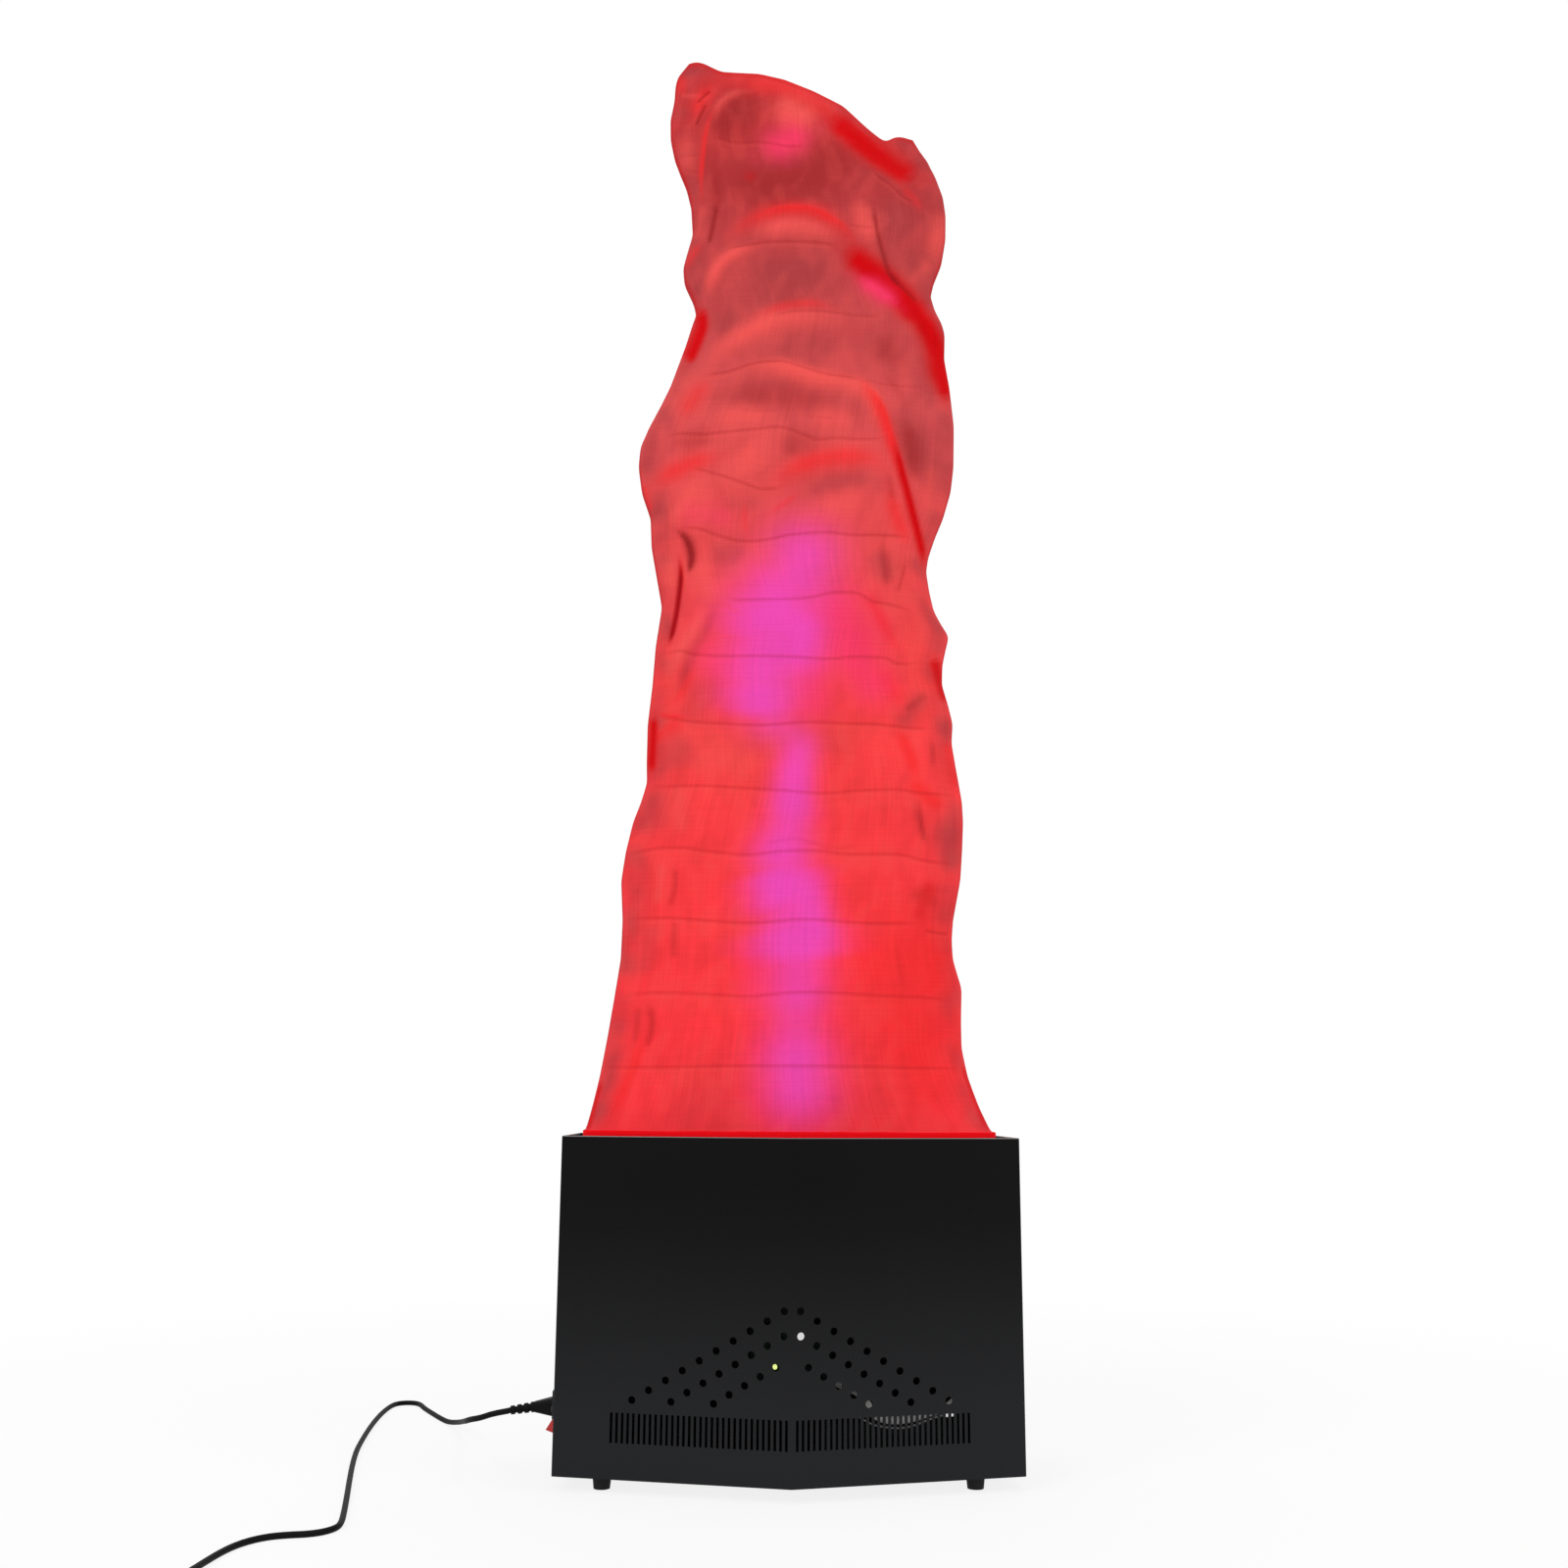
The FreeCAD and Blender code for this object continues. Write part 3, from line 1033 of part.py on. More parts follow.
def inlet():
    """The mains inlet on the left wall, with its pins, screws and sliding fuse drawer."""
    body_width = s.socket_width + 2 * s.inlet_wall
    body_low = s.inlet_z - s.socket_height / 2 - s.inlet_wall
    body_high = s.drawer_z + s.drawer_height / 2 + s.inlet_wall
    flange = Part.makeBox(s.inlet_flange, s.inlet_flange_y, s.inlet_flange_low + s.inlet_flange_high,
                          V(s.flange_x, s.inlet_y - s.inlet_flange_y / 2, s.inlet_z - s.inlet_flange_low))
    body = Part.makeBox(s.inlet_deep, body_width, body_high - body_low,
                        V(s.wall_x, s.inlet_y - body_width / 2, body_low))
    shape = flange.fuse(body)
    shape = shape.cut(socket_prism(s.socket_width, s.socket_height, s.socket_corner,
                                   s.flange_x - s.cut_over, s.socket_deep + s.cut_over))
    room = s.drawer_width + 2 * s.drawer_gap
    tall = s.drawer_height + 2 * s.drawer_gap
    shape = shape.cut(Part.makeBox(s.drawer_deep + s.drawer_gap + s.cut_over, room, tall,
                                   V(s.flange_x - s.cut_over, s.inlet_y - room / 2, s.drawer_z - tall / 2)))
    hole = s.screw_dia / 2 * 3 / 4
    ends = [s.inlet_y - s.inlet_hole_pitch / 2, s.inlet_y + s.inlet_hole_pitch / 2]
    shape = shape.cut([
        Part.makeCylinder(hole + s.screw_gap, 3 * s.cut_over, V(s.flange_x - s.cut_over, y, s.inlet_z), V(1, 0, 0))
        for y in ends
    ])
    node("inlet_body", solid("inlet_body", shape.removeSplitter()))
    root = s.flange_x + s.socket_deep
    pins = [solid("inlet_pin", blade_pin(y, z, root - s.pin_length, s.pin_length, 0)) for y, z in pin_places()]
    node("inlet_pins", group("inlet_pins", pins))
    small = []
    for y in ends:
        at = V(s.flange_x, y, s.inlet_z)
        head = Part.makeCylinder(s.screw_head_dia * 3 / 8, s.screw_head / 2, at - V(s.screw_head / 2, 0, 0), V(1, 0, 0))
        shank = Part.makeCylinder(hole, s.screw_length, at, V(1, 0, 0))
        small.append(solid("inlet_screw", head.fuse(shank).removeSplitter()))
    node("inlet_screws", group("inlet_screws", small))
    low = s.drawer_z - s.drawer_height / 2
    front = Part.makeBox(s.drawer_lip, s.drawer_width, s.drawer_height,
                         V(s.flange_x, s.inlet_y - s.drawer_width / 2, low))
    slide = Part.makeBox(s.drawer_deep, s.drawer_width, s.drawer_height,
                         V(s.flange_x, s.inlet_y - s.drawer_width / 2, low))
    trough_x = s.flange_x + s.drawer_deep - s.fuse_dia / 2 - s.drawer_lip
    trough = Part.makeBox(s.fuse_dia + 2 * s.drawer_gap, s.fuse_length + 2 * s.drawer_gap, s.drawer_height,
                          V(trough_x - s.fuse_dia / 2 - s.drawer_gap,
                            s.inlet_y - s.fuse_length / 2 - s.drawer_gap, low + s.drawer_lip))
    node("fuse_drawer", solid("fuse_drawer", slide.fuse(front).cut(trough).removeSplitter()))
    fuse_z = low + s.drawer_lip + s.fuse_dia / 2
    node("fuse", rod("fuse", "fuse_dia / 2", "fuse_length",
                     "flange_x + drawer_deep - fuse_dia / 2 - drawer_lip", "inlet_y - fuse_length / 2",
                     "drawer_z - drawer_height / 2 + drawer_lip + fuse_dia / 2", V(0, 1, 0)))


def rocker_switch():
    """The red rocker in its black body under the inlet."""
    bezel = box("bezel", "bezel_thick", "bezel_width", "bezel_height", "bezel_x", "inlet_y - bezel_width / 2",
                "rocker_z - bezel_height / 2")
    shell = box("switch_shell", "switch_deep", "switch_width", "switch_height", "wall_x",
                "inlet_y - switch_width / 2", "rocker_z - switch_height / 2")
    room = box("switch_room", "switch_deep - switch_wall + bezel_thick + cut_over", "switch_width - 2 * switch_wall",
               "switch_height - 2 * switch_wall + switch_wall", "bezel_x - cut_over",
               "inlet_y - switch_width / 2 + switch_wall", "rocker_z - switch_height / 2 + switch_wall / 2")
    bore = rod("trunnion_bore", "trunnion_dia / 2 + running_gap", "rocker_width + 2 * trunnion_length",
               "wall_x + pivot_in", "inlet_y - rocker_width / 2 - trunnion_length", "rocker_z", V(0, 1, 0))
    whole = joined("switch_whole", bezel, shell)
    node("switch_body", cut("switch_body", whole, room, bore))
    body = doc.addObject("PartDesign::Body", "rocker_body")
    plane = [f for f in body.Origin.OriginFeatures if f.Role == "XZ_Plane"][0]
    sketch = body.newObject("Sketcher::SketchObject", "rocker_sketch")
    sketch.AttachmentSupport = [(plane, "")]
    sketch.MapMode = "FlatFace"
    drawn = ROCKER_OUTLINE[0][0] - ROCKER_OUTLINE[3][0]
    ring = [V(-out - s.pivot_in, up * s.rocker_height / drawn, 0) for up, out in ROCKER_OUTLINE]
    for a, b in zip(ring, ring[1:] + ring[:1]):
        sketch.addGeometry(Part.LineSegment(a, b), False)
    pad = body.newObject("PartDesign::Pad", "rocker_pad")
    pad.Profile = sketch
    bind(pad, Length="rocker_width")
    pad.Midplane = True
    doc.recompute()
    round_sketch = body.newObject("Sketcher::SketchObject", "trunnion_sketch")
    round_sketch.AttachmentSupport = [(plane, "")]
    round_sketch.MapMode = "FlatFace"
    round_sketch.addGeometry(Part.Circle(V(0, 0, 0), V(0, 0, 1), s.trunnion_dia / 2), False)
    pin = body.newObject("PartDesign::Pad", "trunnion_pad")
    pin.Profile = round_sketch
    bind(pin, Length="rocker_width + 2 * trunnion_length - 2 * running_gap")
    pin.Midplane = True
    doc.recompute()
    place(body, "wall_x + pivot_in", "inlet_y", "rocker_z")
    node("rocker", body)


def rounded_ring(width, height, at, lean):
    """A closed outline across X with rounded corners, leaned about Y, for the connector's shell."""
    w, h, r = width / 2, height / 2, height / 4
    near = r * (1 - math.sqrt(0.5))
    places_yz = [
        ((-w + r, -h), (0, -h), (w - r, -h)), ((w - r, -h), (w - near, -h + near), (w, -h + r)),
        ((w, -h + r), (w, 0), (w, h - r)), ((w, h - r), (w - near, h - near), (w - r, h)),
        ((w - r, h), (0, h), (-w + r, h)), ((-w + r, h), (-w + near, h - near), (-w, h - r)),
        ((-w, h - r), (-w, 0), (-w, -h + r)), ((-w, -h + r), (-w + near, -h + near), (-w + r, -h)),
    ]
    turn = math.radians(lean)

    def spot(y, z):
        return at + V(z * math.sin(turn), y, z * math.cos(turn))

    edges = []
    for k, (a, b, c) in enumerate(places_yz):
        if k % 2:
            edges.append(Part.Arc(spot(*a), spot(*b), spot(*c)).toShape())
        else:
            edges.append(Part.LineSegment(spot(*a), spot(*c)).toShape())
    return Part.Wire(edges)


def cord_route():
    """The cord's route, moved with the strain relief that it starts in."""
    turn = math.radians(s.lead_droop)
    reach = s.relief_length - s.cord_in
    first_x, first_y, first_z = CORD_POINTS[0]
    start_z = s.inlet_z - s.plate / 2 - reach * math.sin(turn)
    low = CORD_POINTS[CORD_FALL_COUNT][2]
    floor = s.cord_dia / 2 + s.cord_clear
    steeper = (start_z - floor) / (first_z - low)
    return [
        (s.neck_x - reach * math.cos(turn) + x - first_x, s.inlet_y + y - first_y,
         floor + (z - low) * (steeper if k < CORD_FALL_COUNT else 1))
        for k, (x, y, z) in enumerate(CORD_POINTS)
    ]


def lead():
    """The mains lead: its connector, ribbed strain relief, cord and plug."""
    nose = socket_prism(s.socket_width - 2 * s.nose_gap, s.socket_height - 2 * s.nose_gap, s.socket_corner,
                        s.connector_x, s.nose_length)
    wide = rounded_ring(s.connector_width, s.connector_height, V(s.connector_x, s.inlet_y, s.inlet_z), 0)
    neck_at = V(s.neck_x, s.inlet_y, s.inlet_z - s.plate / 2)
    narrow = rounded_ring(s.neck_width, s.neck_height, neck_at, -s.lead_droop)
    shell = Part.makeLoft([wide, narrow], True, True)
    slots = [
        blade_pin(y, z, s.connector_x - s.connector_gap, s.nose_length + 2 * s.connector_gap, s.nose_gap)
        for y, z in pin_places()
    ]
    node("lead_connector", solid("lead_connector", nose.fuse(shell).cut(slots).removeSplitter()))
    step = s.relief_length / s.relief_ribs
    outline = [V(0, 0, 0)]
    for k in range(int(s.relief_ribs)):
        share = k / s.relief_ribs
        wide_r = (s.relief_dia + (s.relief_tip_dia - s.relief_dia) * share) / 2
        groove_r = wide_r - s.relief_groove
        low = k * step
        outline += [V(wide_r, 0, low), V(wide_r, 0, low + step * 0.55), V(groove_r, 0, low + step * 0.65),
                    V(groove_r, 0, low + step)]
    outline.append(V(0, 0, s.relief_length))
    face = Part.Face(Part.makePolygon(outline + outline[:1]))
    relief = face.revolve(V(0, 0, 0), V(0, 0, 1), 360)
    turn = math.radians(s.lead_droop)
    way = V(-math.cos(turn), 0, -math.sin(turn))
    relief.Placement = FreeCAD.Placement(neck_at, FreeCAD.Rotation(V(0, 0, 1), way))
    node("lead_relief", solid("lead_relief", relief))
    node("lead_cord", solid("lead_cord", tube(cord_route(), s.cord_dia / 2, "cord")))


def plug():
    """The mains plug at the lead's far end, flat on the floor, with its two pins."""
    end = V(*cord_route()[-1])
    neck = Part.makeCone(s.plug_neck_dia / 2, s.plug_neck_dia, s.plug_neck_length, end, V(0, -1, 0))
    start = end + V(0, -s.plug_neck_length, 0)
    body = Part.makeCylinder(s.plug_body_dia / 2, s.plug_body_length, start, V(0, -1, 0))
    keep = Part.makeBox(s.plug_body_dia, s.plug_body_length, s.plug_body_height,
                        V(start.x - s.plug_body_dia / 2, start.y - s.plug_body_length, start.z - s.plug_body_height / 2))
    shape = neck.fuse(body.common(keep))
    node("mains_plug", solid("mains_plug", shape.removeSplitter()))
    face_y = start.y - s.plug_body_length
    pins = []
    for side in (-1, 1):
        at = V(start.x + side * s.plug_pin_pitch / 2, face_y, start.z)
        pin = Part.makeCylinder(s.plug_pin_dia / 2, s.plug_pin_length, at, V(0, -1, 0))
        pins.append(solid("plug_pin", pin))
    node("plug_pins", group("plug_pins", pins))


casing()
foot_nuts = feet()
case_screws()
silk()
fans(foot_nuts)
lamp_bars()
power_supply()
control()
inlet()
rocker_switch()
lead()
plug()
doc.recompute()

for obj in doc.Objects:
    if "Invalid" in obj.State or "Error" in obj.State:
        raise RuntimeError(f"{obj.Label} failed: {obj.State}")
for obj in NODES:
    if obj.Shape.isNull() or not obj.Shape.isValid() or not obj.Shape.Solids:
        raise RuntimeError(f"{obj.Label} has no valid solid")

os.makedirs("parts", exist_ok=True)
for obj in NODES:
    obj.Shape.exportStep(f"parts/{obj.Label}.step")
    bounds = obj.Shape.BoundBox
    print(f"{obj.Label}: {len(obj.Shape.Solids)} solids, {obj.Shape.Volume:.0f} mm3, x {bounds.XMin:.1f} {bounds.XMax:.1f},"
          f" y {bounds.YMin:.1f} {bounds.YMax:.1f}, z {bounds.ZMin:.1f} {bounds.ZMax:.1f}")
print(len(NODES), "nodes")
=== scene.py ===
import json
import math
import random

import bmesh
import bpy
import numpy as np
from mathutils import Matrix, Vector


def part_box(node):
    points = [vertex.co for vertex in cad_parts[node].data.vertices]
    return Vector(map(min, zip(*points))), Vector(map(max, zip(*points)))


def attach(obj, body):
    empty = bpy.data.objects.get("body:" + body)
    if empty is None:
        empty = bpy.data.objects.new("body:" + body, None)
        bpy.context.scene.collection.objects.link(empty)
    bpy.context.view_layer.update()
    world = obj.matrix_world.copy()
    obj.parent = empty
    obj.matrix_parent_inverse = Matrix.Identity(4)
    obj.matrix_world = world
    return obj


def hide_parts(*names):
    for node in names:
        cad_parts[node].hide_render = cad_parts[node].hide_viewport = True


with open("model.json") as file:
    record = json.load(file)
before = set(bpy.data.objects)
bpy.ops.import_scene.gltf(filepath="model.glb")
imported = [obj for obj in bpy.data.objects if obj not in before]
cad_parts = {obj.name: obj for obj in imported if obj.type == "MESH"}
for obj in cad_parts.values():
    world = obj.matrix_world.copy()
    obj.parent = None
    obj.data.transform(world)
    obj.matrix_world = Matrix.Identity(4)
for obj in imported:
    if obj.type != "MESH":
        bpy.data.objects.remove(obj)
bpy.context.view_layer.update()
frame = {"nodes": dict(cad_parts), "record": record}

# A silk flame effect light: black sheet metal case, tall red silk flame, mains lead on the floor.
# The frame is the CAD's: X right, Y away from the front, Z up, floor at 0.
# Lengths are in metres, and in millimetres where a comment says so.

NODES = frame["nodes"]
MM = 0.001

# The camera, where the photograph was taken from; angles in radians.
CAMERA_AT = (-0.06167, -1.99576, 0.42095)
CAMERA_YAW, CAMERA_PITCH, CAMERA_ROLL = 0.0262, 0.1952, 0.0061
LENS_MM, SENSOR_MM = 37.39, 36

# The mains cord's route in millimetres, from its connector on, close to the one in the part's source.
CORD_ROUTE = [
    (-319.7, -32.5, 78.9), (-336.5, -32.5, 76.2), (-351, -27.7, 70.6), (-365.8, -12.9, 66),
    (-374.3, 14.1, 59.6), (-380.2, 54.3, 52.4), (-387.6, 106.1, 43.5), (-397.6, 165.1, 33),
    (-409.7, 224.9, 21.2), (-425.3, 277.5, 10.5), (-445.2, 318.2, 3.3), (-462.5, 350, 3.3),
    (-475.5, 377, 3.3), (-487.5, 402, 3.3), (-497.7, 424.5, 3.3), (-507.2, 450, 3.3), (-517.7, 461.7, 3.3),
    (-530.7, 463.3, 3.3), (-541.2, 456, 3.3), (-545.2, 442, 3.3), (-546.9, 417, 3.3), (-547, 388, 3.3),
    (-546, 355, 3.3), (-543.6, 315, 3.3), (-539.5, 265, 3.3), (-534, 210, 3.3), (-526, 140, 3.3),
    (-513, 62, 3.3), (-497, -22, 3.3), (-480, -108, 3.3), (-466, -181.5, 3.3), (-460, -217, 3.3),
    (-459.5, -237, 3.3), (-468, -253, 3.3), (-482, -262, 3.3), (-500, -265, 3.3), (-517, -271, 3.3),
    (-531, -285, 3.3), (-541, -305, 3.3), (-547, -330, 3.3), (-551, -362, 3.5), (-553, -402, 5),
    (-553.5, -440, 8.5), (-553.5, -474, 13),
]
CORD_DIAMETER = 0.0065

# The grey sleeve of the wiring and the thin wire below it, as they show through the holes and slits,
# and the ends of the white joint on the wire, in millimetres.
LOOM_ROUTE = [
    (32, -81.5, 118), (32.5, -70, 119), (39, -59, 119.5), (50, -52, 114.5), (63, -48.5, 107.5),
    (76, -47.5, 103), (86, -47.5, 94.5), (92, -47.5, 83), (100, -47.5, 75), (112, -47.5, 72),
    (126, -47.5, 71.8), (142, -47.5, 74.6), (156, -47.5, 79.4), (168, -47.5, 82.6), (178, -47.5, 84.5),
    (188, -47.2, 93.5), (201, -46.5, 107), (226, -45, 125), (242, -44, 148), (247, -43.5, 178),
    (248, -43, 208), (248, -42.5, 237.5),
]
LOOM_DIAMETER = 0.0084
WIRE_ROUTE = [
    (30, -80, 113), (31, -68, 109), (38, -56, 100), (52, -50, 88), (69, -47.5, 80), (80, -47.5, 74.5),
    (88, -47.5, 70.3), (95, -47.5, 66.9), (105, -47.5, 65), (118, -47.5, 63.3), (131, -47.5, 63.7),
    (145, -47.5, 67.4), (158, -47.5, 72.4), (168, -47.5, 76), (177, -47.5, 77.6), (188, -47.5, 78.7),
    (206, -46.8, 86), (226, -45.5, 104), (236, -44.3, 130), (240, -43.7, 165), (242, -43, 208),
    (242, -42.5, 237.5),
]
WIRE_DIAMETER = 0.0016
WIRE_JOINT = ((177, -47.5, 77.6), (187.5, -47.5, 78.6))
JOINT_RADIUS = 0.0021
JOINT_BEVEL = 0.0006

# The silk's outline on its middle plane, in millimetres: points up its left and right edge and along its top.
SILK_LEFT = [
    (-246, 389), (-243.5, 393), (-238, 418), (-231, 453), (-223, 501), (-216, 548), (-209, 597), (-208, 645),
    (-211, 694), (-206, 732), (-198, 769), (-189, 794), (-182, 820), (-183, 845), (-183, 896), (-178, 948),
    (-175, 1000), (-168, 1052), (-173, 1079), (-183, 1132), (-185, 1172), (-197, 1206), (-202, 1240),
    (-200, 1267), (-189, 1295), (-175, 1323), (-163, 1351), (-154, 1379), (-143, 1414), (-135, 1443),
    (-130, 1459), (-134, 1478), (-147, 1507), (-149, 1528), (-144, 1550), (-137, 1579), (-140, 1623),
    (-147, 1652), (-156, 1674), (-164, 1696), (-170, 1725), (-171, 1755), (-166, 1785), (-165, 1808),
    (-162, 1822), (-147, 1843),
]
SILK_RIGHT = [
    (245, 389), (241, 393), (229.5, 421), (218, 456), (211, 492), (211, 528), (212, 564), (202, 600),
    (201, 624), (203, 649), (213, 699), (216, 736), (218, 774), (217, 799), (211, 837), (205, 875),
    (207, 901), (201, 927), (194, 953), (195, 979), (199, 998), (204, 1018), (195, 1031), (185, 1051),
    (179, 1077), (175, 1104), (178, 1124), (187, 1151), (198, 1178), (208, 1213), (212, 1247), (213, 1302),
    (208, 1358), (202, 1400), (203, 1435), (200, 1449), (191, 1468), (185, 1492), (190, 1514), (201, 1543),
    (207, 1579), (208, 1616), (205, 1645), (195, 1674), (186, 1697), (172, 1719), (163, 1735),
]
SILK_TOP = [
    (-147, 1845), (-138, 1848), (-127, 1846), (-116, 1840), (-102, 1833), (-83, 1832), (-49, 1831),
    (-14, 1823), (27, 1806), (68, 1784), (102, 1750), (122, 1733), (129, 1731), (138, 1738), (149, 1739),
    (163, 1735),
]
# Heights on the left and right edge that belong together, half depth and how far the middle leans back.
SILK_LEVELS = [
    (389, 389, 82, 0), (468, 468, 78, 0), (560, 560, 73, -2), (648, 648, 69, -3), (735, 735, 66, -2),
    (818, 818, 63, 2), (900, 900, 61, 5), (985, 985, 59, 6), (1068, 1068, 57, 4), (1145, 1145, 57, 0),
    (1222, 1222, 58, -4), (1296, 1296, 59, -6), (1374, 1374, 56, -5), (1466, 1466, 52, -2),
    (1545, 1540, 47, 3), (1628, 1602, 41, 7), (1692, 1642, 35, 9), (1748, 1676, 27, 10), (1800, 1708, 17, 10),
    (1843, 1732, 2, 10),
]
SILK_FOOT, SILK_HEAD_LEFT, SILK_HEAD_RIGHT = 389, 1843, 1732
SILK_RISE = SILK_HEAD_LEFT - SILK_FOOT
SILK_MIDDLE_Y = 30
BASE_HALF_X, BASE_HALF_Y = 246, 82
TOP_FROM = 0.80  # share of the rise above which the top's own outline sets in

# The silk's grid, and the power of its section's outline: squarish at the base, rounder soon above it.
SILK_ACROSS, SILK_UP = 150, 662
BASE_POWER, UPPER_POWER, POWER_FADE = 6, 2.6, 0.025
OUTLINE_STEPS = 600
EVEN = np.linspace(0, 1, 241)

# Painted light and shade of folds, light patches and creases by kind, as seen from the front, in millimetres:
# half width, strength, and x, z, x, z and so on along the fold, on the plane FRONT_Y. Then come, where they
# aren't 0, how far the cloth stands out there, and from -1 to 1 how much sharper the fold is on the right or
# left of its direction.
FRONT_Y = -20
FOLDS = {}
FOLDS["bright"] = [
    (15, 0.53, [-103, 1779, -61, 1777, -16, 1771, 22, 1754, 54, 1729, 77, 1703], 3),
    (8, 0.44, [-156, 1789, -154, 1772, -157, 1754]), (10, 0.48, [-138, 1722, -125, 1753, -108, 1773]),
    (6, 0.35, [140, 1634, 159, 1610, 170, 1589]),
    (14, 0.59, [-84, 1551, -53, 1577, -15, 1591, 26, 1587, 54, 1569, 79, 1541], 3),
    (8, 0.44, [-46, 1438, -11, 1454, 23, 1458, 51, 1452]), (12, 0.44, [-110, 1346, -129, 1320, -146, 1290]),
    (13, 0.62, [-180, 1199, -155, 1218, -126, 1232, -94, 1239], 3),
    (15, 0.66, [-26, 1203, -1, 1224, 31, 1238, 64, 1244, 96, 1241, 118, 1226], 4),
    (8, 0.66, [88, 1347, 98, 1331, 112, 1304, 122, 1274, 131, 1244, 140, 1210], 6),
    (10, 0.62, [123, 1199, 132, 1162, 148, 1125]), (9, 0.53, [84, 1061, 101, 1045, 112, 1020, 120, 996]),
    (12, 0.53, [104, 965, 125, 936, 137, 908]), (8, 0.7, [126, 886, 141, 864, 150, 838, 157, 816], 2),
    (8, 0.53, [194, 855, 201, 820]), (27, 0.62, [169, 625, 174, 583, 185, 542]),
    (49, 0.48, [104, 598, 150, 621]), (41, 0.44, [160, 501, 167, 453]),
    (4, 0.48, [70, 1727, 93, 1703, 115, 1682, 140, 1662], 2),
    (4, 0.68, [-109, 1735, -118, 1705, -122, 1670, -124, 1635, -123, 1600], 6, 0.7),
    (6, 0.52, [-47, 1583, -15, 1594, 16, 1592, 42, 1581, 67, 1563, 79, 1546], 3, 0.6),
    (6, 0.4, [-122, 1538, -137, 1517, -142, 1497]), (4, 0.32, [-63, 1179, -62, 1152, -58, 1132], 2),
    (4, 0.36, [-32, 1163, -10, 1180, 9, 1194], 2), (4, 0.4, [-191, 1194, -184, 1174]),
    (6, 0.71, [93, 1333, 109, 1312, 120, 1285, 128, 1254, 136, 1223], 6),
    (6, 0.4, [101, 1045, 120, 1009, 136, 980]), (4, 0.63, [-170, 900, -152, 896, -135, 895], 2),
    (8, 0.48, [-148, 884, -164, 873], 2), (5, 0.4, [-122, 963, -134, 934, -149, 908]),
    (7, 0.63, [-178, 509, -186, 472, -198, 439, -211, 410, -217, 392], 3),
    (10, 0.71, [156, 807, 175, 791], 2), (41, 0.4, [131, 598, 142, 530, 152, 471, 152, 427]),
]
FOLDS["light"] = [
    (13, 0.5, [-145, 1704, -146, 1669, -139, 1634], 2), (25, 0.55, [-32, 1735, 3, 1734, 29, 1712], 3),
    (14, 0.6, [194, 1593, 192, 1562, 182, 1531], 2),
    (15, 0.75, [-59, 1548, -28, 1563, 4, 1566, 35, 1557, 60, 1542], 4),
    (15, 0.7, [86, 1608, 92, 1577, 101, 1539], 4),
    (9, 0.85, [-113, 1460, -108, 1487, -95, 1510, -76, 1525, -50, 1534], 5),
    (16, 0.85, [-110, 1366, -89, 1393, -58, 1414, -27, 1431, 10, 1438, 54, 1437], 5),
    (12, 0.8, [-67, 1364, -20, 1366, 20, 1355, 60, 1348, 91, 1336, 110, 1314, 122, 1285], 4),
    (18, 0.6, [18, 1295, 51, 1295, 83, 1287], 2),
    (12, 0.7, [-127, 1212, -133, 1181, -149, 1161, -163, 1149], 3),
    (9, 0.75, [-109, 1042, -124, 1009, -140, 979, -155, 947], 4), (4, 0.35, [-148, 1757, -125, 1754]),
    (6, 0.5, [-112, 1712, -103, 1741, -84, 1759, -58, 1765], 3),
    (21, 0.75, [-32, 1728, -3, 1725, 25, 1714], 3), (14, 0.5, [193, 1572, 190, 1545, 183, 1517], 2),
    (10, 0.4, [158, 1496, 174, 1510], 2), (10, 0.7, [-45, 1361, -8, 1360, 29, 1349, 60, 1343], 3),
    (10, 0.8, [82, 1343, 101, 1327, 113, 1304, 123, 1282], 5, 0.7), (24, 0.4, [-137, 1336, -140, 1316]),
    (7, 0.35, [-123, 1583, -127, 1552]), (15, 0.7, [-104, 1281, -79, 1295, -46, 1295, -27, 1291], 3),
    (32, 0.7, [-78, 1250, -59, 1230, -46, 1213], 3), (15, 0.4, [25, 1167, 57, 1178, 89, 1171], 2),
    (21, 0.4, [-129, 1185, -119, 1168], 3), (8, 0.35, [180, 1255, 176, 1197, 169, 1156], 2),
    (7, 0.6, [-158, 1110, -154, 1084, -155, 1057], 4), (21, 0.55, [-117, 1081, -108, 1065], 3),
    (14, 0.4, [-70, 1085], 2), (7, 0.3, [129, 1122, 130, 1088], 2), (28, 0.4, [-92, 848, -67, 842], 2),
    (11, 0.4, [-138, 792, -137, 764], 2), (6, 0.4, [-159, 702, -162, 671], 2),
]
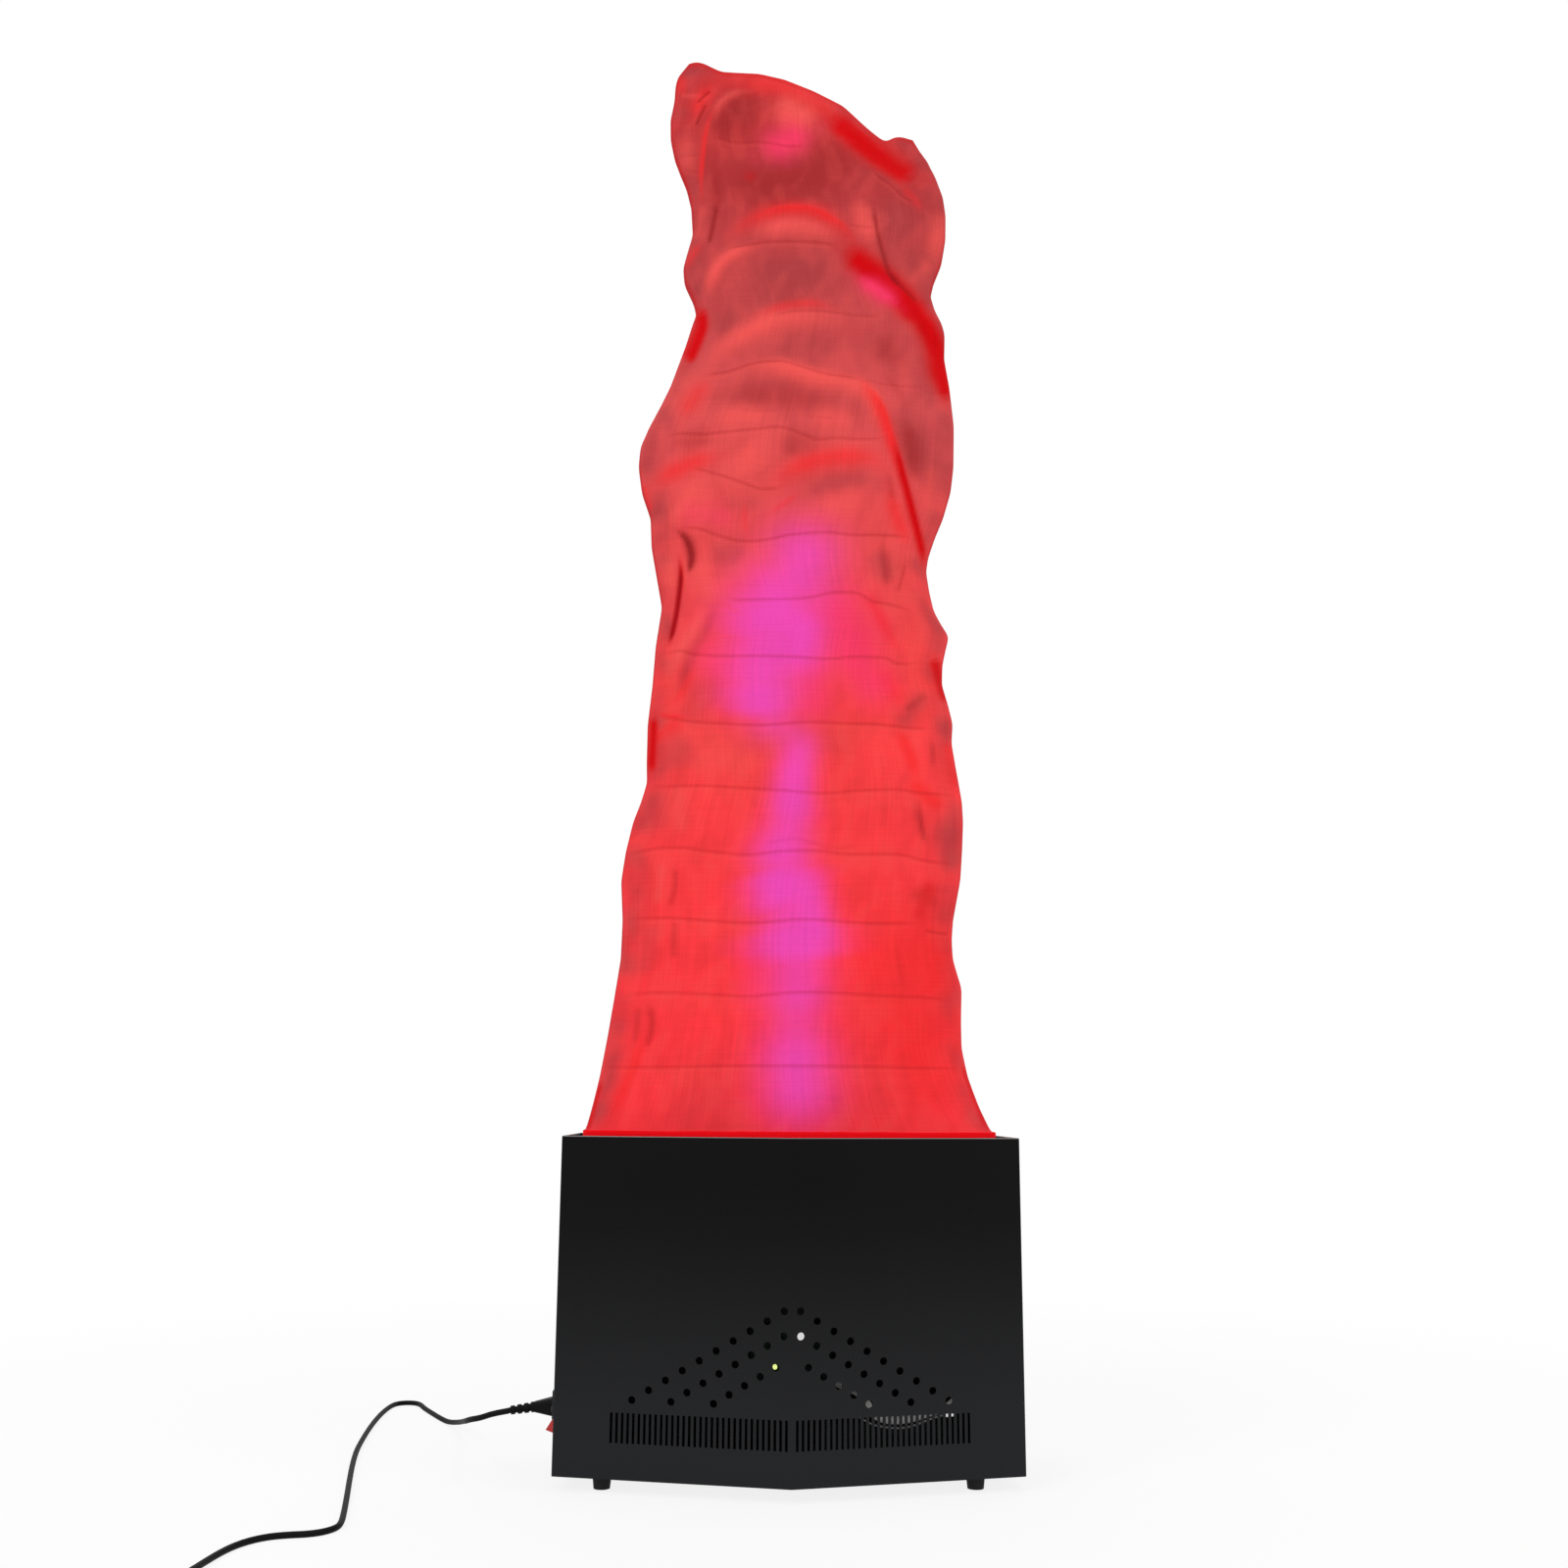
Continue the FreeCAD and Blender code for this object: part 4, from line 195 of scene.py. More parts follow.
FOLDS["shade"] = [
    (22, 0.85, [-93, 1720, -68, 1745], -3),
    (33, 0.8, [-95, 1614, -54, 1629, -9, 1637, 35, 1638, 86, 1650], -4),
    (16, 0.6, [10, 1662, 45, 1674, 70, 1664], -2), (19, 0.45, [101, 1407, 126, 1387, 135, 1361], -2),
    (19, 0.28, [-94, 1330, -42, 1331, 20, 1322, 66, 1315], -2),
    (18, 0.32, [-121, 1318, -56, 1323, 25, 1318, 70, 1311], -2),
    (14, 0.45, [-159, 1254, -130, 1263, -98, 1265], -2), (15, 0.4, [-17, 1243, 2, 1258, 38, 1264], -3),
    (11, 0.5, [150, 1271, 154, 1230], -2),
    (8, 0.6, [-95, 1042, -110, 1012, -122, 986, -134, 953, -146, 922], -4),
    (8, 0.68, [-106, 1663, -107, 1628, -105, 1600, -100, 1580], -5, -0.6),
    (18, 0.68, [-84, 1741, -64, 1727], -3), (14, 0.59, [-96, 1720, -93, 1702], -3),
    (24, 0.42, [-91, 1611, -60, 1615, -22, 1606, 22, 1607], -3), (24, 0.34, [16, 1666, 51, 1660, 83, 1650]),
    (6, 0.26, [113, 1357, 135, 1334, 144, 1308]), (5, 0.42, [122, 1223, 126, 1199, 129, 1179], -3),
    (12, 0.3, [135, 1299, 151, 1258, 157, 1220], -2),
    (8, 0.72, [-145, 1137, -133, 1124, -129, 1104, -130, 1081], -5),
    (5, 0.42, [115, 1128, 118, 1095, 121, 1065], -3), (5, 0.42, [148, 913, 162, 923], -3),
    (4, 0.42, [174, 870, 175, 851, 175, 832], -2), (4, 0.34, [-141, 633, -142, 603], -2),
    (5, 0.34, [-184, 528, -185, 502], -2), (6, 0.47, [150, 795, 159, 764, 168, 733], -4),
    (11, 0.42, [139, 670, 166, 674, 175, 652], -3), (5, 0.3, [127, 621, 133, 583, 134, 560], -2),
]
FOLDS["rose"] = [
    (22, 0.8, [-47, 1671, -18, 1688, 24, 1709]), (15, 0.9, [82, 1498, 114, 1476, 139, 1457]),
    (18, 0.3, [-125, 1161, -93, 1158]), (22, 0.5, [10, 991, 8, 984]),
    (72, 0.45, [19, 1093, -13, 1040, -31, 994, -31, 945]),
    (49, 0.35, [1, 778, -6, 681, 6, 604, 6, 544, 6, 470]), (38, 0.8, [60, 1031, 73, 1005]),
    (28, 0.75, [82, 969, 98, 943]), (25, 0.6, [26, 955, 26, 917]), (22, 0.5, [-100, 970, -78, 960]),
    (23, 0.5, [-40, 589, -43, 559]),
]
FOLDS["grey"] = [
    (22, 0.75, [127, 1619, 136, 1585, 149, 1544], -2),
    (30, 0.75, [-71, 1491, -27, 1509, 20, 1507, 60, 1491], -3),
    (19, 0.75, [-108, 1413, -89, 1423, -61, 1439], -2), (23, 0.4, [-27, 1396, 20, 1394, 67, 1403], -3),
    (14, 0.6, [157, 1385, 170, 1352, 179, 1309]),
    (15, 0.5, [1, 1175, 25, 1197, 57, 1211, 93, 1212, 120, 1192], -3),
    (18, 0.7, [147, 1320, 158, 1278, 170, 1237, 186, 1200]),
    (25, 0.6, [-112, 1111, -83, 1107, -57, 1099], -2), (17, 0.6, [105, 1121, 116, 1095, 129, 1073], -2),
    (13, 0.5, [143, 899, 157, 917], -2), (25, 0.5, [-120, 868, -145, 844, -150, 819], -2),
    (17, 0.45, [173, 768, 192, 737, 195, 706], -1), (11, 0.6, [-210, 618, -212, 584]),
    (5, 0.36, [48, 1744, 77, 1724, 102, 1700, 121, 1686]), (14, 0.43, [-126, 1797, -142, 1795]),
    (5, 0.25, [-148, 1786, -154, 1764]), (39, 0.36, [-73, 1636, -28, 1647, 19, 1645, 45, 1632], -5),
    (15, 0.36, [162, 1592, 171, 1572]), (15, 0.43, [161, 1527, 158, 1503]),
    (12, 0.43, [124, 1571, 133, 1537, 149, 1510], -2),
    (30, 0.4, [-71, 1478, -34, 1489, 4, 1483, 48, 1487], -4),
    (19, 0.36, [-71, 1457, -27, 1462, 23, 1463], -3), (11, 0.29, [186, 1483, 176, 1466]),
    (26, 0.36, [82, 1400, 113, 1391, 129, 1374], -3), (30, 0.32, [-33, 1391, 4, 1388, 51, 1393], -3),
    (20, 0.32, [-63, 1337, -26, 1335], -2), (12, 0.32, [-126, 1497, -127, 1477]),
    (30, 0.25, [29, 1319, 66, 1313]), (18, 0.43, [-188, 1269, -187, 1238, -184, 1214], -2),
    (11, 0.25, [-159, 1290, -162, 1259]), (19, 0.47, [-17, 1248, 6, 1257, 35, 1257], -3),
    (14, 0.32, [-71, 1176, -52, 1179], -2), (11, 0.4, [-170, 1181, -174, 1157], -2),
    (31, 0.4, [158, 1313, 154, 1265, 164, 1224]), (18, 0.36, [197, 1314, 197, 1265, 189, 1204]),
    (11, 0.29, [-175, 1110, -173, 1070, -167, 1038]), (9, 0.29, [-164, 1031, -166, 1005, -163, 982]),
    (11, 0.36, [174, 1043, 184, 1020, 183, 997]), (12, 0.25, [189, 912, 191, 867]),
    (22, 0.32, [-115, 924, -121, 905], -2), (26, 0.22, [-36, 868, 57, 866]),
    (18, 0.36, [-167, 791, -166, 768], -2), (15, 0.29, [-186, 713, -185, 679], -1),
    (11, 0.29, [-169, 626, -176, 588], -1), (15, 0.32, [-206, 528, -213, 498, -216, 479], -1),
    (11, 0.36, [-217, 454, -224, 424], -1), (16, 0.32, [194, 791, 198, 748, 195, 713], -1),
    (15, 0.29, [193, 675, 188, 644], -1), (14, 0.36, [193, 576, 191, 546], -1),
    (45, 0.22, [-157, 432, -102, 425, -46, 433]), (35, 0.14, [70, 423, 115, 426]),
]
FOLDS["deep"] = [
    (19, 1, [67, 1537, 98, 1513, 126, 1490, 148, 1465, 167, 1435], -8, 0.3),
    (11, 1, [164, 1449, 179, 1419, 189, 1389, 194, 1359, 201, 1319], -5),
    (12, 1, [-123, 1450, -119, 1426, -127, 1399, -139, 1369], -6, 0.7),
    (6, 1, [129, 1261, 137, 1230, 146, 1196, 154, 1162, 163, 1122, 167, 1092], 5),
    (3, 0.95, [-144, 1104, -142, 1078, -145, 1048, -149, 1018, -155, 990], -6),
    (8, 0.9, [178, 977, 184, 948, 195, 916], -2), (6, 1, [-172, 898, -173, 863, -174, 822], -2),
    (19, 1, [45, 1729, 61, 1715, 80, 1698, 101, 1681, 123, 1664, 143, 1650, 162, 1637], -8, -0.3),
    (8, 0.3, [-60, 1643]),
    (17, 1, [76, 1529, 98, 1512, 123, 1492, 145, 1472, 164, 1449, 179, 1422, 188, 1392, 192, 1359, 197,
     1329], -8, 0.4), (4, 0.85, [134, 1233, 142, 1206, 149, 1176, 156, 1146, 164, 1115], 5),
    (3, 0.8, [-225, 450, -233, 417, -241, 388], -2), (9, 0.4, [158, 655, 168, 682]),
    (4, 0.8, [207, 471, 220, 434, 236, 393], -2),
]
FOLDS["dark"] = [
    (4, 0.7, [-148, 1141, -135, 1128, -129, 1108, -132, 1084], -5),
    (3, 0.52, [-104, 1597, -108, 1566, -114, 1535], -4), (2, 0.52, [-113, 1765, -124, 1756, -132, 1746], -2),
    (2, 0.6, [-120, 1746, -127, 1729, -134, 1712], -3),
    (3, 0.56, [105, 1598, 109, 1564, 116, 1533, 126, 1506, 145, 1486], -4),
    (2, 0.45, [126, 1506, 145, 1486, 164, 1466], -3),
    (3, 0.57, [-142, 1094, -143, 1071, -145, 1044, -149, 1018, -155, 989], -6),
    (2, 0.3, [143, 1098, 138, 1078, 133, 1062], -2), (4, 0.3, [-143, 706, -142, 683, -149, 656], -4),
    (4, 0.32, [-170, 539, -167, 513, -173, 487], -4), (2, 0.24, [157, 787, 163, 748], -2),
]
FOLDS["pink"] = [
    (44, 0.78, [12, 1106, 5, 1082]), (47, 0.92, [10, 1060, -16, 1040, -38, 1018, -44, 993]),
    (30, 0.9, [10, 1007, 7, 988]), (47, 0.85, [-31, 981, -37, 955]),
    (36, 0.85, [-40, 945, -40, 919, -40, 893]), (22, 0.4, [-18, 887, 10, 865]), (20, 0.6, [6, 843, 0, 802]),
    (24, 0.6, [3, 821, 1, 793]), (26, 0.65, [-1, 770, -9, 735]), (34, 0.6, [-12, 719, -2, 642]),
    (34, 0.6, [7, 604, 8, 559]), (26, 0.3, [7, 537, 7, 499]), (38, 1, [-16, 711, -10, 684, 0, 658]),
    (49, 0.85, [2, 642, 5, 616, 7, 589]), (23, 0.8, [20, 669, 26, 635]), (42, 0.82, [7, 468, 9, 445]),
]
FOLDS["line"] = [
    (2, 0.27, [-112, 1692, -96, 1691, -80, 1686, -48, 1689, -10, 1685, 13, 1686], 1),
    (2, 0.16, [-156, 1665, -141, 1666, -129, 1667], 1), (2, 0.14, [-150, 1645, -139, 1643, -128, 1641], 1),
    (2, 0.32, [104, 1654, 115, 1640, 130, 1630, 143, 1616, 159, 1606], 1),
    (2, 0.23, [70, 1570, 86, 1565, 105, 1564], 1),
    (2, 0.34, [-90, 1528, -65, 1536, -40, 1542, -3, 1544, 35, 1541, 57, 1537], 1),
    (2, 0.27, [-27, 1438, 4, 1445, 29, 1447, 54, 1445, 79, 1441, 114, 1439], 1),
    (2, 0.36, [-119, 1353, -88, 1359, -57, 1368, -20, 1370, 5, 1365, 36, 1357, 67, 1353, 88, 1348], 1),
    (2, 0.18, [88, 1348, 128, 1340, 169, 1340], 1),
    (2, 0.34, [-169, 1266, -143, 1271, -117, 1271, -85, 1274, -46, 1278, -17, 1281, 9, 1275, 31, 1268, 57,
     1270, 90, 1268, 122, 1267], 1), (2, 0.16, [-69, 1305, -47, 1302, -21, 1304], 1),
    (2, 0.14, [18, 1297, 51, 1296], 1),
    (2, 0.36, [-129, 1224, -110, 1218, -84, 1210, -58, 1202, -42, 1198, -17, 1199], 1),
    (2, 0.38, [-150, 1144, -122, 1142, -102, 1135, -77, 1128, -54, 1127, -32, 1130, 0, 1137, 44, 1140, 76,
     1136, 115, 1136, 150, 1135], 1),
    (2, 0.34, [-88, 1051, -63, 1048, -19, 1049, 19, 1053, 51, 1060, 82, 1059, 100, 1049, 124, 1044, 152,
     1036], 1),
    (2, 0.36, [-166, 975, -141, 979, -113, 976, -81, 976, -37, 975, -6, 974, 38, 972, 76, 977, 114, 976, 133,
     968, 161, 968], 1),
    (2, 0.36, [-170, 898, -152, 894, -130, 890, -99, 887, -37, 887, 26, 890, 88, 890, 126, 887, 148, 885, 182,
     885], 1), (2, 0.32, [-177, 806, -107, 808, -30, 805, 32, 801, 86, 805, 132, 806, 160, 801, 206, 799], 1),
    (2, 0.34, [-202, 721, -167, 730, -133, 731, -99, 727, -53, 723, -7, 728, 32, 729, 70, 725, 132, 724, 162,
     718, 205, 713], 1), (2, 0.14, [-34, 738, 9, 743, 47, 733, 86, 735], 1),
    (2, 0.34, [-202, 642, -150, 644, -105, 642, -52, 639, 2, 643, 40, 643, 104, 640, 158, 640], 1),
    (2, 0.34, [162, 632, 177, 629, 192, 628], 1),
    (2, 0.32, [-201, 551, -164, 554, -103, 553, -51, 551, -6, 555, 40, 556, 104, 553, 161, 551, 202, 545], 1),
    (2, 0.34, [-225, 465, -158, 466, -50, 468, 47, 468, 141, 467, 205, 466], 1),
]

# How a fold is drawn: the step along its line, how sharply its mask falls off at the sides, and the share of
# its length over which each end fades. A crease line has its own half width, and its painted shading reaches
# further.
STROKE_STEP = 5
CRISP_KINDS = ("deep", "dark", "line")
CRISP, SOFT = 2.5, 2
END_FADES = {"line": 0.08, "deep": 0.14, "dark": 0.14}
END_FADE = 0.3
LINE_WIDTH, LINE_REACH = 1.9, 40
# The painted light edge and glow below a crease line, and the painted grey shade above it: kind, strength,
# distance, half width.
LINE_EDGE = ("light", 0.5, 4.4, 2.4)
LINE_GLOW = ("light", 0.32, 13, 11)
LINE_SHADE = ("grey", 0.12, 8, 8)

# Waves of the cloth in millimetres: length, lowest and highest direction in degrees, strength.
BILLOW_WAVES = [(170, -25, 25, 0.9), (230, 50, 130, 0.8), (120, 20, 70, 0.6), (95, -70, -20, 0.5)]
SIDE_WAVES = [(34, -18, 18, 1), (47, -25, 10, 0.9), (23, -10, 25, 0.6), (61, -30, 30, 0.7)]
FINE_WAVES = [(19, 60, 120, 0.5), (13, 70, 110, 0.4), (27, 20, 80, 0.4), (16, -40, 20, 0.35)]
CRUMPLE_WAVES = [(31, -20, 20, 0.5), (47, -25, 15, 0.6), (70, 60, 120, 0.5), (110, 20, 80, 0.5),
                 (23, -15, 25, 0.3)]
EDGE_WAVES = [(61, 70, 110, 0.6), (37, 60, 120, 0.5), (140, 70, 110, 0.6)]
WAVE_TURN, WAVE_PHASES = 6.283, 6.28
# How high the waves stand, and the most that all relief may take of the silk's half depth.
BILLOW_HEIGHT, SIDE_HEIGHT, FINE_HEIGHT, RELIEF_LIMIT = 2.4, 1.5, 0.35, 0.45

# Painted shade along the silk's outline at its sides: where the grey along it lies and how wide, and the
# widths of the deep red edge and of the dark line at it.
EDGE_SHADE_AT, EDGE_SHADE_WIDTH, EDGE_DEEP_WIDTH, EDGE_DARK_WIDTH = 14, 15, 2.6, 2.0

# The silk's colours in displayed levels from 0 to 255: from foot to top, paler near the lamps at its foot and
# darker above as painted light, and those of its masks.
SILK_RAMP = [
    (0.0, (252, 54, 62)), (0.05, (255, 55, 62)), (0.22, (255, 60, 65)), (0.36, (252, 65, 68)),
    (0.50, (238, 75, 77)), (0.63, (219, 80, 82)), (0.76, (197, 69, 71)), (0.88, (184, 54, 57)),
    (1.0, (212, 54, 56)),
]
SILK_TONES = {
    "deep": (214, 2, 10), "grey": (172, 62, 66), "light": (246, 88, 84), "pink": (242, 74, 184),
    "rose": (255, 58, 104), "bright": (248, 40, 42), "dark": (140, 20, 24), "line": (168, 30, 34),
    "shade": (166, 42, 44),
}
MASKS = [("tone_a", ("grey", "shade", "light")), ("tone_b", ("bright", "deep", "dark")),
         ("tone_c", ("rose", "pink", "line"))]
# How much of that colour the silk gives off, because it is lit from inside, and takes from the lamps outside.
SILK_GLOW, SILK_LIT = 0.52, 0.42

# The case's paint: heights where painted light sets in towards the floor, and where a painted highlight lies
# along the rim's edge, which is also glossy.
PAINTED_LIGHT_FROM, PAINTED_LIGHT_FULL = 0.36, 0.05
RIM_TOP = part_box("front_shell")[1][2]
RIM_HIGHLIGHT_FROM, RIM_HIGHLIGHT_FULL = RIM_TOP - 0.0014, RIM_TOP - 0.0006
GLOSS_FROM, GLOSS_FULL = RIM_TOP - 0.0003, RIM_TOP - 0.0001
RIM_HIGHLIGHT = (0.25, 0.22, 0.22)
# Pale pieces behind the slits glow as painted light, and lose it above a height as painted shade.
DIM_OVER = 0.01  # height over which a pale piece behind the slits loses its light

# The cloth bands round the silk's base: segments round and up, wall in millimetres, waves of the hem's edge.
BAND_ROUND, BAND_UP, BAND_WALL, HEM_WAVES = 240, 5, 1.4, 23

WORLD_LIGHT = 0.6
SEEN_BY = ("Camera", "Glossy", "Transmission")
LAMPS = [
    ("key", (-2.2, -2.6, 2.6), (0, 0, 0.9), 1.8, 55),
    ("fill", (2.6, -1.8, 1.6), (0, 0, 0.8), 1.6, 22),
    ("top", (0.2, 0.6, 3.4), (0, 0, 1.0), 1.4, 22),
]


def link(name, data):
    """A new object in the scene."""
    obj = bpy.data.objects.new(name, data)
    bpy.context.scene.collection.objects.link(obj)
    return obj


def piece(name, data, body):
    """A new piece that rides on a body."""
    obj = link(name, data)
    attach(obj, body)
    return obj


def smooth_mesh(name, bm):
    """A bmesh as a mesh, shaded smooth."""
    mesh = bpy.data.meshes.new(name)
    bm.to_mesh(mesh)
    bm.free()
    mesh.polygons.foreach_set("use_smooth", [True] * len(mesh.polygons))
    return mesh


def camera():
    """The photograph's camera."""
    data = bpy.data.cameras.new("camera")
    data.lens = LENS_MM
    data.sensor_width = SENSOR_MM
    data.clip_end = 100
    obj = link("camera", data)
    obj.matrix_world = (Matrix.Translation(CAMERA_AT) @ Matrix.Rotation(-CAMERA_YAW, 4, "Z")
                        @ Matrix.Rotation(math.pi / 2 + CAMERA_PITCH, 4, "X")
                        @ Matrix.Rotation(CAMERA_ROLL, 4, "Z"))
    bpy.context.scene.camera = obj


def smooth_tube(name, route, diameter, body):
    """A round tube on one smooth line through a route's points."""
    curve = bpy.data.curves.new(name, "CURVE")
    curve.dimensions = "3D"
    spline = curve.splines.new("NURBS")
    spline.points.add(len(route) - 1)
    for point, (x, y, z) in zip(spline.points, route):
        point.co = (x * MM, y * MM, z * MM, 1)
        point.radius = diameter / 2
    spline.order_u = 3
    spline.use_endpoint_u = True
    spline.resolution_u = 10
    curve.bevel_depth = 1
    curve.bevel_resolution = 5
    curve.use_fill_caps = True
    return piece(name, curve, body)


def cord():
    """The mains lead's cord, one smooth line on the floor."""
    obj = smooth_tube("mains_cord", CORD_ROUTE, CORD_DIAMETER, "mains_lead")
    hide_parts("lead_cord")
    return obj


camera()
mains_cord = cord()


class Socket:
    """A shader value. Sums, differences and products of it add Math nodes."""

    def __init__(self, finish, socket):
        self.finish = finish
        self.socket = socket

    def math(self, operation, *values):
        return self.finish.node("ShaderNodeMath", {"operation": operation}, dict(enumerate(values)))

    def __add__(self, other):
        return self.math("ADD", self, other)

    __radd__ = __add__

    def __sub__(self, other):
        return self.math("SUBTRACT", self, other)

    def __rsub__(self, other):
        return self.math("SUBTRACT", other, self)

    def __mul__(self, other):
        return self.math("MULTIPLY", self, other)

    __rmul__ = __mul__


class Finish:
    """The nodes of one material, or of the world."""

    def __init__(self, name, kind="materials"):
        self.owner = getattr(bpy.data, kind).new(name)
        self.owner.use_nodes = True
        self.tree = self.owner.node_tree
        self.tree.nodes.clear()

    def node(self, kind, settings=None, inputs=None, output=0):
        """A node: its settings or ramp stops first, then its sockets' values or links."""
        made = self.tree.nodes.new(kind)
        for key, value in (settings or {}).items():
            if key == "stops":
                ramp = made.color_ramp
                while len(ramp.elements) < len(value):
                    ramp.elements.new(1)
                for element, (position, colour) in zip(ramp.elements, value):
                    element.position = position
                    element.color = (*colour, 1)
            else:
                setattr(made, key, value)
        for key, value in (inputs or {}).items():
            socket = made.inputs[key]
            if isinstance(value, Socket):
                self.tree.links.new(value.socket, socket)
            elif socket.type == "RGBA" and len(value) == 3:
                socket.default_value = (*value, 1)
            else:
                socket.default_value = value
        return Socket(self, made.outputs[output]) if len(made.outputs) else None

    def mix(self, factor, a, b):
        """A mix of two colours."""
        return self.node("ShaderNodeMix", {"data_type": "RGBA"}, {0: factor, 6: a, 7: b}, 2)

    def uneven(self, factor, colour, spread):
        """A colour that goes a little darker and paler."""
        return self.mix(factor, times(colour, 1 - spread), times(colour, 1 + spread))

    def scale(self, colour, factor):
        """A colour times a value."""
        return self.node("ShaderNodeVectorMath", {"operation": "SCALE"}, {0: colour, 3: factor})

    def place(self, scale=(1, 1, 1), source="Object"):
        """Coordinates that stay with the piece, stretched by a scale."""
        spot = self.node("ShaderNodeTexCoord", output=source)
        return self.node("ShaderNodeMapping", None, {"Vector": spot, "Scale": scale})

    def height(self):
        """The height above the floor."""
        spot = self.node("ShaderNodeTexCoord", output="Object")
        return self.node("ShaderNodeSeparateXYZ", None, {0: spot}, 2)

    def noise(self, scale, detail=2, rough=0.5, place=None):
        """Soft noise from 0 to 1."""
        return self.node("ShaderNodeTexNoise", None, {"Vector": place or self.place(), "Scale": scale,
                                                      "Detail": detail, "Roughness": rough})

    def between(self, value, low, high, start=0.0, stop=1.0, curve="SMOOTHSTEP"):
        """From start, where the value is at low or beyond, to stop at high."""
        return self.node("ShaderNodeMapRange", {"interpolation_type": curve},
                         {"Value": value, "From Min": low, "From Max": high, "To Min": start, "To Max": stop})

    def bump(self, height, strength, distance):
        """A bumped normal."""
        return self.node("ShaderNodeBump", None,
                         {"Strength": strength, "Distance": distance, "Height": height})

    def seen(self):
        """1 to the camera, also in gloss and through glass, and 0 to the light that falls on the object."""
        camera_ray, gloss_ray, glass_ray = (self.node("ShaderNodeLightPath", output=f"Is {kind} Ray")
                                            for kind in SEEN_BY)
        return camera_ray.math("MAXIMUM", camera_ray, gloss_ray.math("MAXIMUM", gloss_ray, glass_ray))

    def end(self, **sockets):
        """The shader and the output; underscores in names stand for spaces."""
        inputs = {key.replace("_", " "): value for key, value in sockets.items()}
        shader = self.node("ShaderNodeBsdfPrincipled", None, inputs)
        self.node("ShaderNodeOutputMaterial", None, {"Surface": shader})
        return self.owner


def times(colour, factor):
    """A colour made darker or paler."""
    return [c * factor for c in colour]


def shown(red, green, blue):
    """A colour by its displayed levels from 0 to 255."""
    return [c / 255 / 12.92 if c < 11 else ((c / 255 + 0.055) / 1.055) ** 2.4 for c in (red, green, blue)]


def paint(name, colour, rough, speck, level=0.3, painted_light_colour=None):
    """Powder coat: a fine orange peel with slight patches. With a second colour, it is paler near the floor
    as painted light and has a painted highlight along the rim."""
    f = Finish(name)
    grain = f.noise(900, 3)
    patch = f.noise(7, 3)
    base = f.uneven(patch, colour, speck)
    gloss = 0.0
    if painted_light_colour:
        height = f.height()
        # Paler towards the floor: painted light.
        base = f.mix(f.between(height + patch * 0.03, PAINTED_LIGHT_FROM, PAINTED_LIGHT_FULL), base, painted_light_colour)
        rise = f.between(height, RIM_HIGHLIGHT_FROM, RIM_HIGHLIGHT_FULL)
        fall = f.between(height, GLOSS_FULL, GLOSS_FROM)
        # A pale band along the rim's edge: painted highlight.
        base = f.mix(rise * fall * (patch * 0.5 + 0.6), base, RIM_HIGHLIGHT)
        gloss = f.between(height, GLOSS_FROM, GLOSS_FULL, 0.0, 0.8, "LINEAR")
    return f.end(Base_Color=base, Roughness=patch * 0.12 + (rough - 0.06), Specular_IOR_Level=level,
                 Coat_Weight=gloss, Coat_Roughness=0.25, Normal=f.bump(grain, 0.25, 0.0004))


def metal(name, colour, rough, stretch=(1, 1, 1)):
    """Bare metal with a drawn grain along the direction that isn't stretched."""
    f = Finish(name)
    grain = f.noise(60, 4, 0.6, f.place(stretch))
    return f.end(Base_Color=f.uneven(grain, colour, 0.12), Metallic=1.0,
                 Roughness=grain * 0.2 + (rough - 0.1), Normal=f.bump(grain, 0.2, 0.0002))


def moulded(name, colour, rough, speck=0.1, grain_scale=1400, level=0.5):
    """Moulded plastic or rubber: a fine spark grain, a little uneven."""
    f = Finish(name)
    grain = f.noise(grain_scale)
    patch = f.noise(40)
    return f.end(Base_Color=f.uneven(patch, colour, speck), Roughness=grain * 0.15 + (rough - 0.07),
                 Specular_IOR_Level=level, Normal=f.bump(grain, 0.3, 0.0003))


def glowing(name, colour, strength, rough=0.3, dims_above=None):
    """A lit lamp's body, or a pale piece near the slits whose glow is painted light, dimmed above a height as
    painted shade.
    """
    f = Finish(name)
    tone = lit = f.mix(f.noise(300), times(colour, 0.85), colour)
    if dims_above:
        dim = f.between(f.height(), dims_above, dims_above + DIM_OVER)
        lit = f.mix(dim, tone, times(colour, 0.08))
    return f.end(Base_Color=tone, Roughness=rough, Emission_Color=lit, Emission_Strength=strength)


def clear(name, colour, alpha):
    """Clear plastic or glass."""
    f = Finish(name)
    tone = f.mix(f.noise(200), times(colour, 0.95), colour)
    return f.end(Base_Color=tone, Roughness=0.08, Alpha=alpha)


